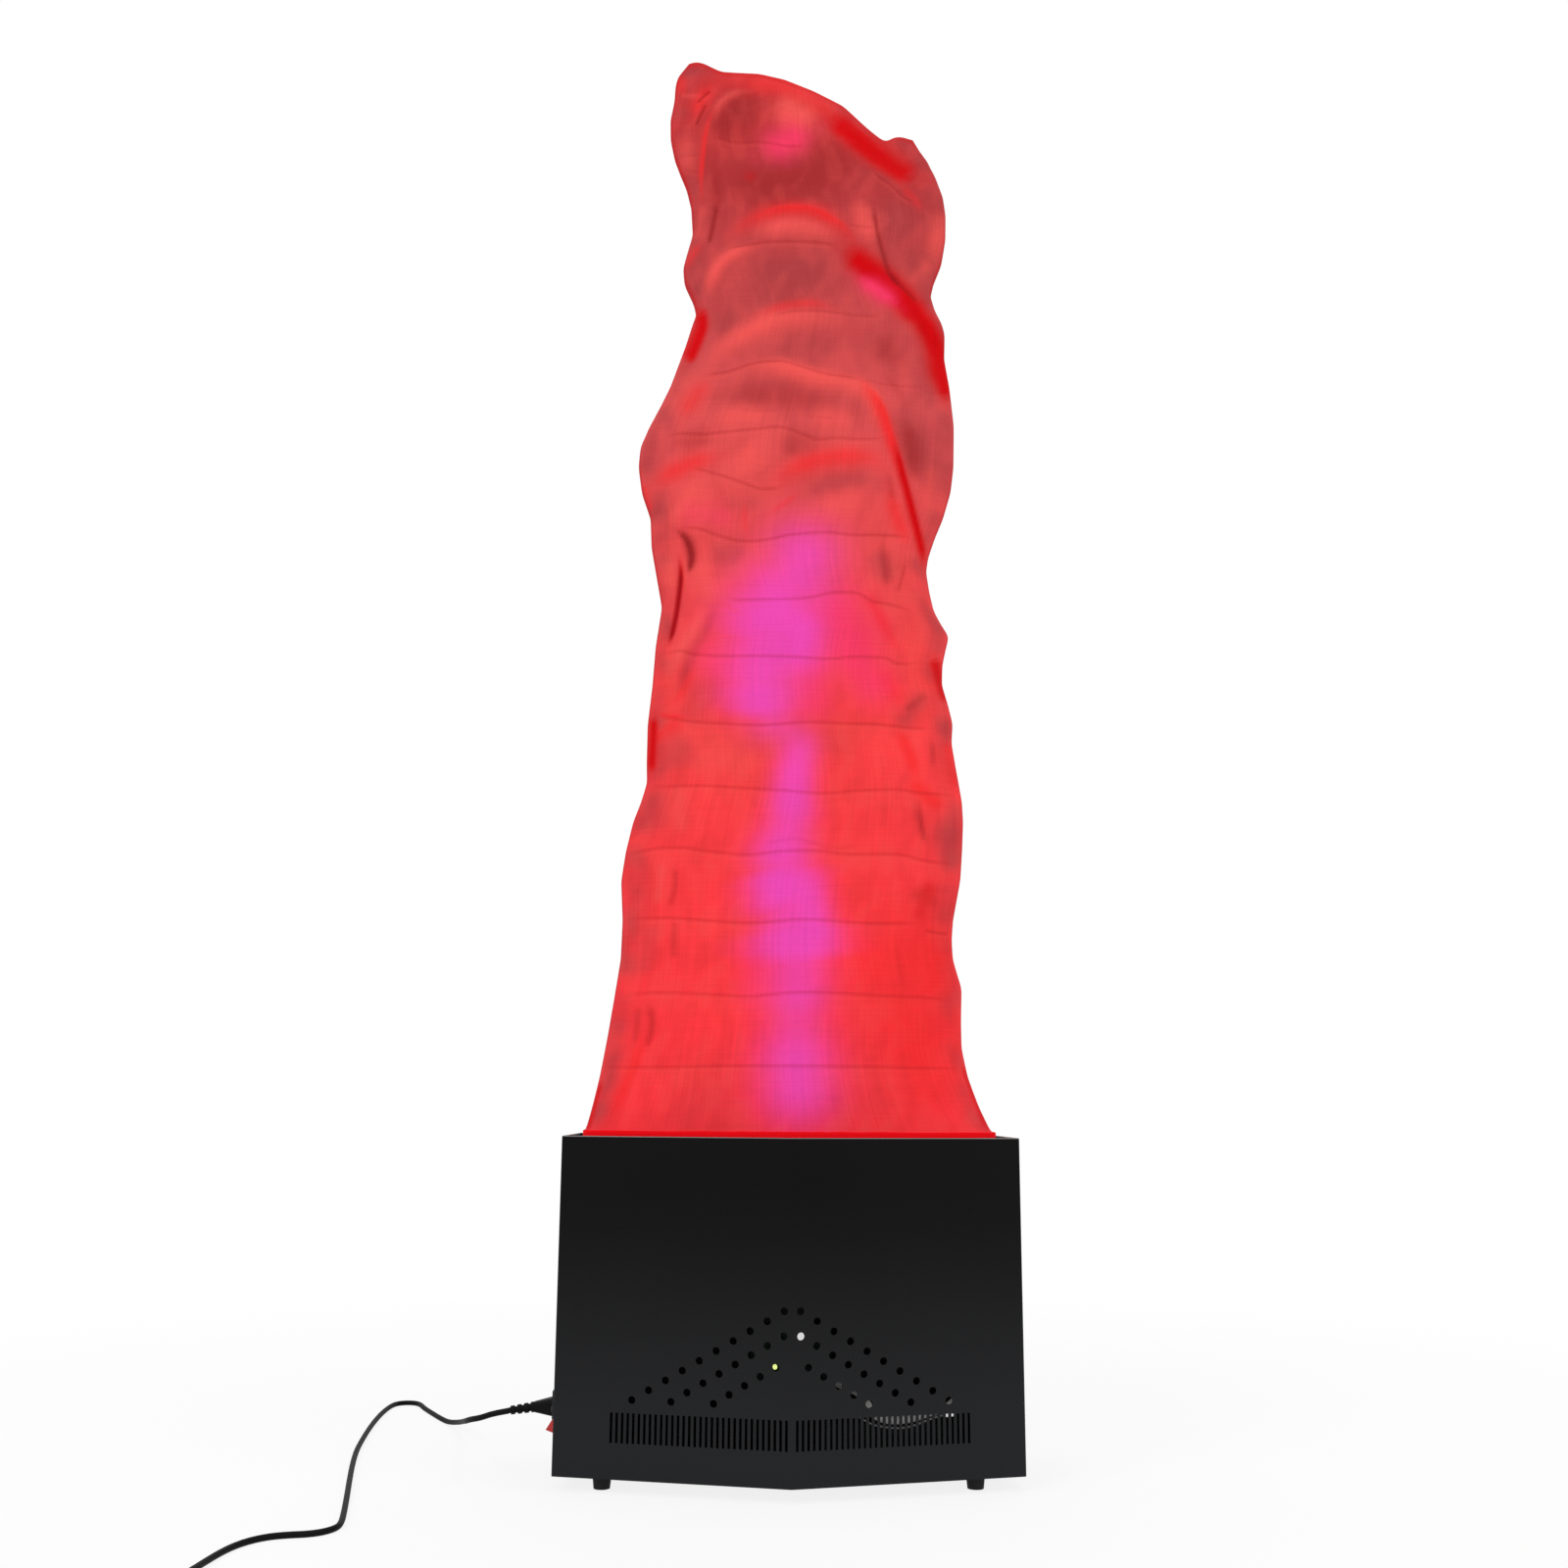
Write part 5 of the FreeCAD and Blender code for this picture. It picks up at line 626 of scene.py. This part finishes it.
def silk():
    """Thin red silk lit from below: the folds' painted light and shade, light patches and a magenta glow
    ride on the cloth's own masks.
    """
    f = Finish("silk")
    share = (f.height() - SILK_FOOT * MM) * (1 / (SILK_RISE * MM))
    stops = [(position, shown(*levels)) for position, levels in SILK_RAMP]
    tone = f.node("ShaderNodeValToRGB", {"stops": stops}, {0: share})
    for attribute, kinds in MASKS:
        masks = f.node("ShaderNodeAttribute", {"attribute_name": attribute}, output="Color")
        for k, kind in enumerate(kinds):
            mask = f.node("ShaderNodeSeparateColor", None, {0: masks}, k)
            tone = f.mix(mask, tone, shown(*SILK_TONES[kind]))
    warp = f.noise(1, 3, 0.6, f.place((210, 9, 1), "UV"))
    weft = f.noise(1, 3, 0.6, f.place((6, 520, 1), "UV"))
    cloud = f.noise(9, 3, place=f.place((1, 1, 1.6)))
    tone = f.scale(tone, warp * 0.34 + weft * 0.18 + cloud * 0.2 + 0.64)
    threads = f.noise(1, place=f.place((420, 30, 1), "UV")) + f.noise(1, place=f.place((30, 1200, 1), "UV"))
    return f.end(Base_Color=f.scale(tone, SILK_LIT), Roughness=0.75, Specular_IOR_Level=0.06,
                 Emission_Color=tone, Emission_Strength=SILK_GLOW, Normal=f.bump(threads, 0.25, 0.0005))


def cloth(name, colour, glow=0.0):
    """Plain woven cloth; a glow, where given, is painted light."""
    f = Finish(name)
    weave = f.noise(500, place=f.place((1, 1, 3))) + f.noise(350, place=f.place((3, 3, 1)))
    tone = f.mix(weave * 0.5, times(colour, 0.8), colour)
    return f.end(Base_Color=tone, Roughness=0.85, Specular_IOR_Level=0.1, Emission_Color=tone,
                 Emission_Strength=glow, Normal=f.bump(weave, 0.5, 0.0006))


FINISHES = {
    "case_black": paint("case_paint", (0.0026, 0.0024, 0.0024), 0.42, 0.3, 0.07, (0.0165, 0.0172, 0.0185)),
    "inner_black": paint("deck_paint", (0.0075, 0.0075, 0.008), 0.5, 0.25, 0.15),
    "zinc_sheet": metal("zinc_sheet", (0.035, 0.036, 0.038), 0.5),
    "foot_rubber": moulded("foot_rubber", (0.012, 0.012, 0.012), 0.75, 0.2, 700, 0.3),
    "screw_black": metal("black_zinc", (0.05, 0.05, 0.05), 0.4),
    "screw_steel": metal("plated_steel", (0.55, 0.54, 0.5), 0.35),
    "fan_alloy": paint("fan_paint", (0.02, 0.02, 0.021), 0.45, 0.2),
    "motor_steel": metal("motor_core", (0.35, 0.24, 0.16), 0.5, (1, 1, 8)),
    "bearing_steel": metal("bearing_steel", (0.6, 0.6, 0.6), 0.25),
    "impeller_black": moulded("impeller_plastic", (0.015, 0.015, 0.015), 0.45),
    "shaft_steel": metal("shaft_steel", (0.6, 0.6, 0.6), 0.2),
    "guard_wire": metal("guard_wire", (0.65, 0.65, 0.66), 0.2),
    "sink_alloy": metal("sink_alloy", (0.55, 0.55, 0.57), 0.4, (8, 1, 8)),
    "lamp_board": moulded("lamp_board", (0.6, 0.62, 0.6), 0.5),
    "lamp_chip": glowing("lamp_dome", (1.0, 0.12, 0.1), 1.2),
    "lens": clear("lens_plastic", (0.9, 0.9, 0.9), 0.35),
    # The supply's sheet is near black as painted shade, where the inside behind the slits is dark.
    "supply_sheet": metal("supply_sheet", (0.035, 0.035, 0.037), 0.5, (1, 6, 1)),
    "board_green": moulded("board_green", (0.006, 0.02, 0.01), 0.5, level=0.2),
    "supply_parts": moulded("supply_parts", (0.05, 0.05, 0.045), 0.5),
    "chip_black": moulded("chip_plastic", (0.012, 0.012, 0.012), 0.5),
    "led_green": glowing("led_green", (0.88, 1.0, 0.32), 1.0),
    # The white plug glows though it is no lamp: painted light.
    "plug_white": glowing("plug_white", (0.85, 0.85, 0.84), 0.8),
    "post_nylon": moulded("post_nylon", (0.6, 0.6, 0.57), 0.5),
    # The sleeve glows as painted light, dimmed above a height as painted shade.
    "loom_grey": glowing("loom_sleeve", (0.60, 0.60, 0.58), 0.16, 0.6, 0.089),
    "clip_black": moulded("clip_nylon", (0.012, 0.012, 0.012), 0.5),
    "inlet_black": moulded("inlet_plastic", (0.006, 0.006, 0.0065), 0.35, level=0.3),
    "pin_brass": metal("pin_metal", (0.62, 0.55, 0.4), 0.25),
    "fuse_glass": clear("fuse_glass", (0.85, 0.86, 0.84), 0.5),
    "rocker_red": moulded("rocker_plastic", (0.62, 0.012, 0.010), 0.22, 0.12),
    "lead_black": moulded("lead_sheath", (0.0035, 0.0035, 0.004), 0.58, 0.2, 900, 0.08),
    "silk_red": silk(),
    # The hem glows as painted light.
    "hem_red": cloth("hem_silk", (0.62, 0.001, 0.004), 0.6),
    "tape": cloth("hook_tape", (0.015, 0.015, 0.015)),
}


def dress_nodes():
    """Give every CAD node its finish."""
    slots = {part["node"]: part["material_slot"] for part in frame["record"]["subparts"]}
    for name, obj in NODES.items():
        if not obj.material_slots:
            obj.data.materials.append(None)
        for slot in obj.material_slots:
            slot.link = "OBJECT"
            slot.material = FINISHES[slots[name]]


def smoothed(points, spread):
    """Values of a polyline at every millimetre of its first column, softened."""
    points = np.array(points, float)
    grid = np.arange(int(points[0, 0]), math.ceil(points[-1, 0]) + 1)
    reach = int(3 * spread)
    kernel = np.exp(-0.5 * (np.arange(-reach, reach + 1) / spread) ** 2)
    kernel /= kernel.sum()
    columns = []
    for column in range(1, points.shape[1]):
        line = np.interp(grid, points[:, 0], points[:, column])
        ahead = 2 * line[0] - line[reach:0:-1]
        after = 2 * line[-1] - line[-2:-reach - 2:-1]
        columns.append(np.convolve(np.concatenate([ahead, line, after]), kernel, "valid"))
    return grid, columns


LEFT_Z, (LEFT_X,) = smoothed([(z, x) for x, z in SILK_LEFT], 4)
RIGHT_Z, (RIGHT_X,) = smoothed([(z, x) for x, z in SILK_RIGHT], 4)
LEVEL_Z, (PARTNER_Z, DEPTH, LEAN) = smoothed(SILK_LEVELS, 22)
TOP_X, (TOP_Z,) = smoothed(SILK_TOP, 4)


def section_table(half_width, half_depth, power):
    """Half an outline of a level by its own length: shares across and shares of depth."""
    turn = np.linspace(0, math.pi, OUTLINE_STEPS)
    c, d = -np.cos(turn), np.sin(turn)
    across = np.sign(c) * np.abs(c) ** (2 / power)
    deep = np.abs(d) ** (2 / power)
    run = np.concatenate([[0], np.cumsum(np.hypot(np.diff(across) * half_width, np.diff(deep) * half_depth))])
    return np.interp(EVEN * run[-1], run, across), np.interp(EVEN * run[-1], run, deep)


def silk_surface(u, v):
    """The silk's smooth form without folds, for shares across and up, in millimetres: x, lean, z, half depth,
    share of the half depth, and how far in from the edge."""
    z_left = SILK_FOOT + v * SILK_RISE
    z_right, depth, lean = (np.interp(z_left, LEVEL_Z, column) for column in (PARTNER_Z, DEPTH, LEAN))
    x_left, x_right = np.interp(z_left, LEFT_Z, LEFT_X), np.interp(z_right, RIGHT_Z, RIGHT_X)
    stops = np.concatenate([[0, 0.012, 0.03, 0.055, 0.09], np.linspace(0.15, 1, 16)])
    tables = []
    for stop in stops:
        power = UPPER_POWER + (BASE_POWER - UPPER_POWER) * math.exp(-stop / POWER_FADE)
        z = SILK_FOOT + stop * SILK_RISE
        half = (np.interp(z, RIGHT_Z, RIGHT_X) - np.interp(z, LEFT_Z, LEFT_X)) / 2
        tables.append(section_table(half, np.interp(z, LEVEL_Z, DEPTH) + 1, power))
    index = np.clip(np.searchsorted(stops, v, "right") - 1, 0, len(stops) - 2)
    part = (v - stops[index]) / (stops[index + 1] - stops[index])
    across, deep = np.zeros_like(u), np.zeros_like(u)
    for k in range(len(stops) - 1):
        inside = index == k
        for table, weight in ((tables[k], 1 - part[inside]), (tables[k + 1], part[inside])):
            across[inside] += weight * np.interp(u[inside], EVEN, table[0])
            deep[inside] += weight * np.interp(u[inside], EVEN, table[1])
    half = (x_right - x_left) / 2
    x = (x_left + x_right) / 2 + half * across
    margin = half * (1 - np.abs(across))
    share_right = (across + 1) / 2
    z = z_left + (z_right - z_left) * share_right
    near_top = np.clip((v - TOP_FROM) / (1 - TOP_FROM), 0, 1) ** 2
    head = SILK_HEAD_LEFT + (SILK_HEAD_RIGHT - SILK_HEAD_LEFT) * share_right
    z += near_top * (np.interp(x, TOP_X, TOP_Z) - head)
    return x, lean, z, depth, deep, margin


def drawn(points):
    """A smooth line through given points: places, directions and shares of its length."""
    if len(points) == 1:
        return points, np.array([[1.0, 0.0]]), np.array([0.5])
    ends = np.vstack([2 * points[0] - points[1], points, 2 * points[-1] - points[-2]])
    pieces = []
    for before, start, stop, after in zip(ends, ends[1:], ends[2:], ends[3:]):
        count = max(math.ceil(np.hypot(*(stop - start)) / STROKE_STEP), 1)
        t = np.linspace(0, 1, count, endpoint=False)[:, None]
        pieces.append(0.5 * (2 * start + (stop - before) * t
                             + (2 * before - 5 * start + 4 * stop - after) * t ** 2
                             + (3 * start - before - 3 * stop + after) * t ** 3))
    line = np.vstack(pieces + [points[-1:]])
    way = np.gradient(line, axis=0)
    way /= np.maximum(np.hypot(way[:, 0], way[:, 1]), 1e-6)[:, None]
    run = np.concatenate([[0], np.cumsum(np.hypot(*np.diff(line, axis=0).T))])
    return line, way, run / run[-1]


def near_line(x, z, points, reach):
    """Which places lie near a drawn line, how far off, on which side, and at what share of its length."""
    line, way, share = drawn(points)
    half_step = STROKE_STEP / 2 if len(points) > 1 else 0
    low, high = line.min(0) - reach, line.max(0) + reach
    inside = np.nonzero((x > low[0]) & (x < high[0]) & (z > low[1]) & (z < high[1]))[0]
    best = np.full(len(inside), 1e9)
    side, along = np.zeros(len(inside)), np.full(len(inside), 0.5)
    x, z = x[inside], z[inside]
    for (line_x, line_z), (way_x, way_z), part in zip(line, way, share):
        dx, dz = x - line_x, z - line_z
        off = way_x * dz - way_z * dx
        d = off ** 2 + np.maximum(np.abs(way_x * dx + way_z * dz) - half_step, 0) ** 2
        closer = d < best
        best[closer], side[closer], along[closer] = d[closer], off[closer], part
    return inside, np.sqrt(best), side, along


def wander(x, z, waves, seed):
    """Soft waves in many directions, from about -1 to 1."""
    chance = random.Random(seed)
    total = np.zeros_like(x)
    for length, low, high, strength in waves:
        turn = math.radians(chance.uniform(low, high))
        phase, second = chance.uniform(0, WAVE_PHASES), chance.uniform(0, WAVE_PHASES)
        along = x * math.cos(turn) + z * math.sin(turn)
        side = z * math.cos(turn) - x * math.sin(turn)
        bend = 1.6 * np.sin(WAVE_TURN * side / (length * 2.7) + second)
        total += strength * np.sin(WAVE_TURN * along / length + phase + bend)
    return total


def cover(fields, kind, mask, places=slice(None)):
    """Lay one more mask over a kind's own."""
    fields[kind][places] = 1 - (1 - fields[kind][places]) * (1 - np.clip(mask, 0, 1))


def draw_folds(fields, lift, x, z):
    """Lay the folds' masks and relief on places that are seen at x and z."""
    for kind, folds in FOLDS.items():
        is_line = kind == "line"
        power = CRISP if kind in CRISP_KINDS else SOFT
        for width, strength, numbers, *more in folds:
            height, bias = (*more, 0, 0)[:2]
            points = np.reshape(numbers, (-1, 2)).astype(float)
            reach = LINE_REACH if is_line else 3.2 * width + 6
            inside, distance, side, along = near_line(x, z, points, reach)
            ends = np.clip(np.minimum(along, 1 - along) / END_FADES.get(kind, END_FADE), 0, 1)
            size = LINE_WIDTH
            if not is_line:
                ends = 0.15 + 0.85 * (ends if len(points) > 2 else 1)
                size = width * (0.7 + 0.3 * ends)
            size = size * np.where(side * bias > 0, 1 - 0.6 * abs(bias), 1 + 0.35 * abs(bias))
            cover(fields, kind, strength * ends * np.exp(-(distance / size) ** power), inside)
            if is_line:
                below = side < 0
                long = min(abs(points[-1, 0] - points[0, 0]) / 200, 1)
                for (tone, share, far, spread), part in ((LINE_EDGE, below), (LINE_GLOW, long * below),
                                                         (LINE_SHADE, long * ~below)):
                    glow = np.exp(-((distance - far) / spread) ** 2)
                    cover(fields, tone, share * strength * ends * part * glow, inside)
            lift[inside] += height * ends * np.exp(-(distance / max(width * 0.9, 2.2)) ** 2)


def silk_panel(name, front):
    """One side of the silk flame with its folds, as seen or, at the back, as they press through."""
    bm = bmesh.new()
    bm.loops.layers.uv.new("UVMap")
    bmesh.ops.create_grid(bm, x_segments=SILK_ACROSS, y_segments=SILK_UP, size=0.5, calc_uvs=True)
    mesh = smooth_mesh(name, bm)
    place = np.zeros(len(mesh.vertices) * 3)
    mesh.vertices.foreach_get("co", place)
    place = place.reshape(-1, 3)
    u, v = np.clip(place[:, 0] + 0.5, 0, 1), np.clip(place[:, 1] + 0.5, 0, 1)
    back, way = (0, -1) if front else (1, 1)
    across = 1 - u if back else u
    x, lean, z, depth, deep, margin = silk_surface(across, v)
    y = SILK_MIDDLE_Y + lean + way * depth * deep

    # Where the camera sees each place on the plane of the folds. The back's own folds lie a little off these.
    eye_x, eye_y, eye_z = (c / MM for c in CAMERA_AT)
    reach = (FRONT_Y - eye_y) / ((2 * SILK_MIDDLE_Y - y if back else y) - eye_y)
    seen_x, seen_z = eye_x + (x - eye_x) * reach, eye_z + (z - eye_z) * reach
    if back:
        seen_x = seen_x + 9 * np.sin(seen_z / 83)
        seen_z = seen_z + 12 * np.sin(seen_x / 71) - 6
    fields = {kind: np.zeros_like(x) for kind in SILK_TONES}
    lift = np.zeros_like(x)
    draw_folds(fields, lift, seen_x, seen_z)
    # Painted shade along the outline: a grey band, a deep red edge and a dark line.
    edge_shade = 0.30 + 0.22 * wander(x, z, EDGE_WAVES, seed=4)
    cover(fields, "grey", np.exp(-((margin - EDGE_SHADE_AT) / EDGE_SHADE_WIDTH) ** 2) * edge_shade)
    cover(fields, "deep", 0.6 * np.exp(-(margin / EDGE_DEEP_WIDTH) ** 2))
    cover(fields, "dark", 0.34 * np.exp(-(margin / EDGE_DARK_WIDTH) ** 2))
    crumple = wander(x, z, CRUMPLE_WAVES, seed=12 + back)
    cover(fields, "light", 0.14 * np.clip(crumple, 0, 1))
    cover(fields, "shade", 0.11 * np.clip(-crumple, 0, 1))
    # Deep red along the very top edge, painted shade as along the outline.
    cover(fields, "deep", 0.5 * np.clip((v - 0.992) / 0.008, 0, 1))

    # Relief stays off the edges, the foot and the top, and within a share of the flame's depth.
    free = np.clip(deep * 1.6, 0, 1) * np.clip(v / 0.05, 0, 1) * np.clip((1 - v) / 0.04, 0, 1)
    side = np.clip((0.42 - deep) / 0.42, 0, 1) + 0.25 * np.clip((np.abs(across - 0.5) - 0.25) * 4, 0, 1)
    lift += BILLOW_HEIGHT * wander(x, z, BILLOW_WAVES, seed=5 + back)
    lift += SIDE_HEIGHT * side * wander(x, z, SIDE_WAVES, seed=8 + back)
    lift += FINE_HEIGHT * wander(seen_x, seen_z, FINE_WAVES, seed=3)
    limit = RELIEF_LIMIT * depth
    y += way * limit * np.tanh(lift * free / limit)
    mesh.vertices.foreach_set("co", np.stack([x, y, z], 1).reshape(-1) * MM)
    for attribute, kinds in MASKS:
        values = np.ones((len(x), 4), np.float32)
        for k, kind in enumerate(kinds):
            values[:, k] = fields[kind]
        mesh.attributes.new(attribute, "FLOAT_COLOR", "POINT").data.foreach_set("color", values.reshape(-1))
    mesh.materials.append(FINISHES["silk_red"])
    mesh.update()
    return piece(name, mesh, "case")


def base_ring(outset):
    """Evenly spaced points round the silk's base, moved out or in, in metres."""
    half_x, half_y = BASE_HALF_X + outset, BASE_HALF_Y + outset
    across, deep = section_table(half_x, half_y, BASE_POWER)
    front = np.linspace(0, 1, BAND_ROUND // 2, endpoint=False)
    return [Vector((half_x * np.interp(share, EVEN, across),
                    SILK_MIDDLE_Y + way * half_y * np.interp(share, EVEN, deep), 0)) * MM
            for way, shares in ((-1, front), (1, 1 - front)) for share in shares]


def band(name, slot, outset, low, high, wave=0.0):
    """A cloth band round the silk's base, in millimetres, with a slight wave along its upper edge."""
    bm = bmesh.new()
    bmesh.ops.create_circle(bm, segments=BAND_ROUND, radius=1)
    for vert, spot in zip(bm.verts, base_ring(outset)):
        vert.co = spot + Vector((0, 0, low * MM))
    edges = list(bm.edges)
    for step in range(1, BAND_UP + 1):
        made = bmesh.ops.extrude_edge_only(bm, edges=edges)["geom"]
        edges = [g for g in made if isinstance(g, bmesh.types.BMEdge)]
        for vert in (g for g in made if isinstance(g, bmesh.types.BMVert)):
            vert.co.z = (low + (high - low) * step / BAND_UP) * MM
            if step == BAND_UP:
                vert.co.z += wave * MM * math.sin(math.atan2(vert.co.y, vert.co.x) * HEM_WAVES)
    bmesh.ops.recalc_face_normals(bm, faces=bm.faces)
    mesh = smooth_mesh(name, bm)
    mesh.materials.append(FINISHES[slot])
    obj = piece(name, mesh, "case")
    wall = obj.modifiers.new("wall", "SOLIDIFY")
    wall.thickness = BAND_WALL * MM
    wall.offset = -1
    return obj


def wiring():
    """The grey sleeve, the thin wire and the white joint on it, behind the front's slits, all glowing as
    painted light.
    """
    sleeve = smooth_tube("wiring_sleeve", LOOM_ROUTE, LOOM_DIAMETER, "case")
    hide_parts("wiring_loom")
    sleeve.data.materials.append(FINISHES["loom_grey"])
    wire = smooth_tube("thin_wire", WIRE_ROUTE, WIRE_DIAMETER, "case")
    # The thin wire glows as painted light, dimmed above a height as painted shade.
    wire.data.materials.append(glowing("wire_sheath", (0.5, 0.5, 0.48), 0.1, 0.6, 0.092))
    start, stop = (Vector(end) * MM for end in WIRE_JOINT)
    bm = bmesh.new()
    bmesh.ops.create_cone(bm, cap_ends=True, segments=20, radius1=JOINT_RADIUS, radius2=JOINT_RADIUS,
                          depth=(stop - start).length)
    rims = [edge for edge in bm.edges if abs(edge.verts[0].co.z - edge.verts[1].co.z) < 1e-6]
    bmesh.ops.bevel(bm, geom=rims, offset=JOINT_BEVEL, offset_type="OFFSET", affect="EDGES", segments=3,
                    profile=0.5, material=-1)
    turn = (stop - start).to_track_quat("Z", "Y").to_matrix().to_4x4()
    bmesh.ops.transform(bm, matrix=Matrix.Translation((start + stop) / 2) @ turn, verts=bm.verts)
    bmesh.ops.recalc_face_normals(bm, faces=bm.faces)
    mesh = smooth_mesh("wire_joint", bm)
    mesh.materials.append(FINISHES["plug_white"])
    piece("wire_joint", mesh, "case")


def stage():
    """A pale floor that keeps the object's shadow and fades to white, a white background and soft lamps."""
    floor = Finish("floor_white")
    spot = floor.node("ShaderNodeTexCoord", output="Object")
    far = floor.node("ShaderNodeVectorMath", {"operation": "LENGTH"}, {0: spot}, 1)
    fade = floor.between(far, low=0.5, high=2.2, start=0.85)
    matt = floor.node("ShaderNodeBsdfDiffuse", None, {"Color": (0.86, 0.86, 0.86)})
    white = floor.node("ShaderNodeEmission", None, {"Color": (1, 1, 1), "Strength": 1.0})
    surface = floor.node("ShaderNodeMixShader", None, {0: fade * floor.seen(), 1: matt, 2: white})
    floor.node("ShaderNodeOutputMaterial", None, {"Surface": surface})
    bm = bmesh.new()
    bmesh.ops.create_grid(bm, x_segments=1, y_segments=1, size=20)
    mesh = smooth_mesh("floor", bm)
    mesh.materials.append(floor.owner)
    link("floor", mesh)

    sky = Finish("studio", "worlds")
    level = sky.between(sky.seen(), low=0, high=1, start=WORLD_LIGHT, curve="LINEAR")
    light = sky.node("ShaderNodeBackground", None, {"Color": (1, 1, 1), "Strength": level})
    sky.node("ShaderNodeOutputWorld", None, {"Surface": light})
    bpy.context.scene.world = sky.owner

    for name, place, aim, size, power in LAMPS:
        data = bpy.data.lights.new(name, "AREA")
        data.shape = "SQUARE"
        data.size = size
        data.energy = power
        turn = (Vector(aim) - Vector(place)).to_track_quat("-Z", "Y").to_matrix().to_4x4()
        link(name, data).matrix_world = Matrix.Translation(place) @ turn


dress_nodes()
mains_cord.data.materials.append(FINISHES["lead_black"])
silk_front = silk_panel("silk_front_cloth", True)
silk_back = silk_panel("silk_back_cloth", False)
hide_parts("silk_front")
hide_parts("silk_back")
hem = band("silk_hem_band", "hem_red", outset=0.8, low=374, high=391.5, wave=0.25)
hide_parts("silk_hem")
tape = band("hook_tape_band", "tape", outset=-1.5, low=374, high=384)
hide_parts("hook_tape")
wiring()
stage()
bpy.context.scene.view_settings.view_transform = "Standard"
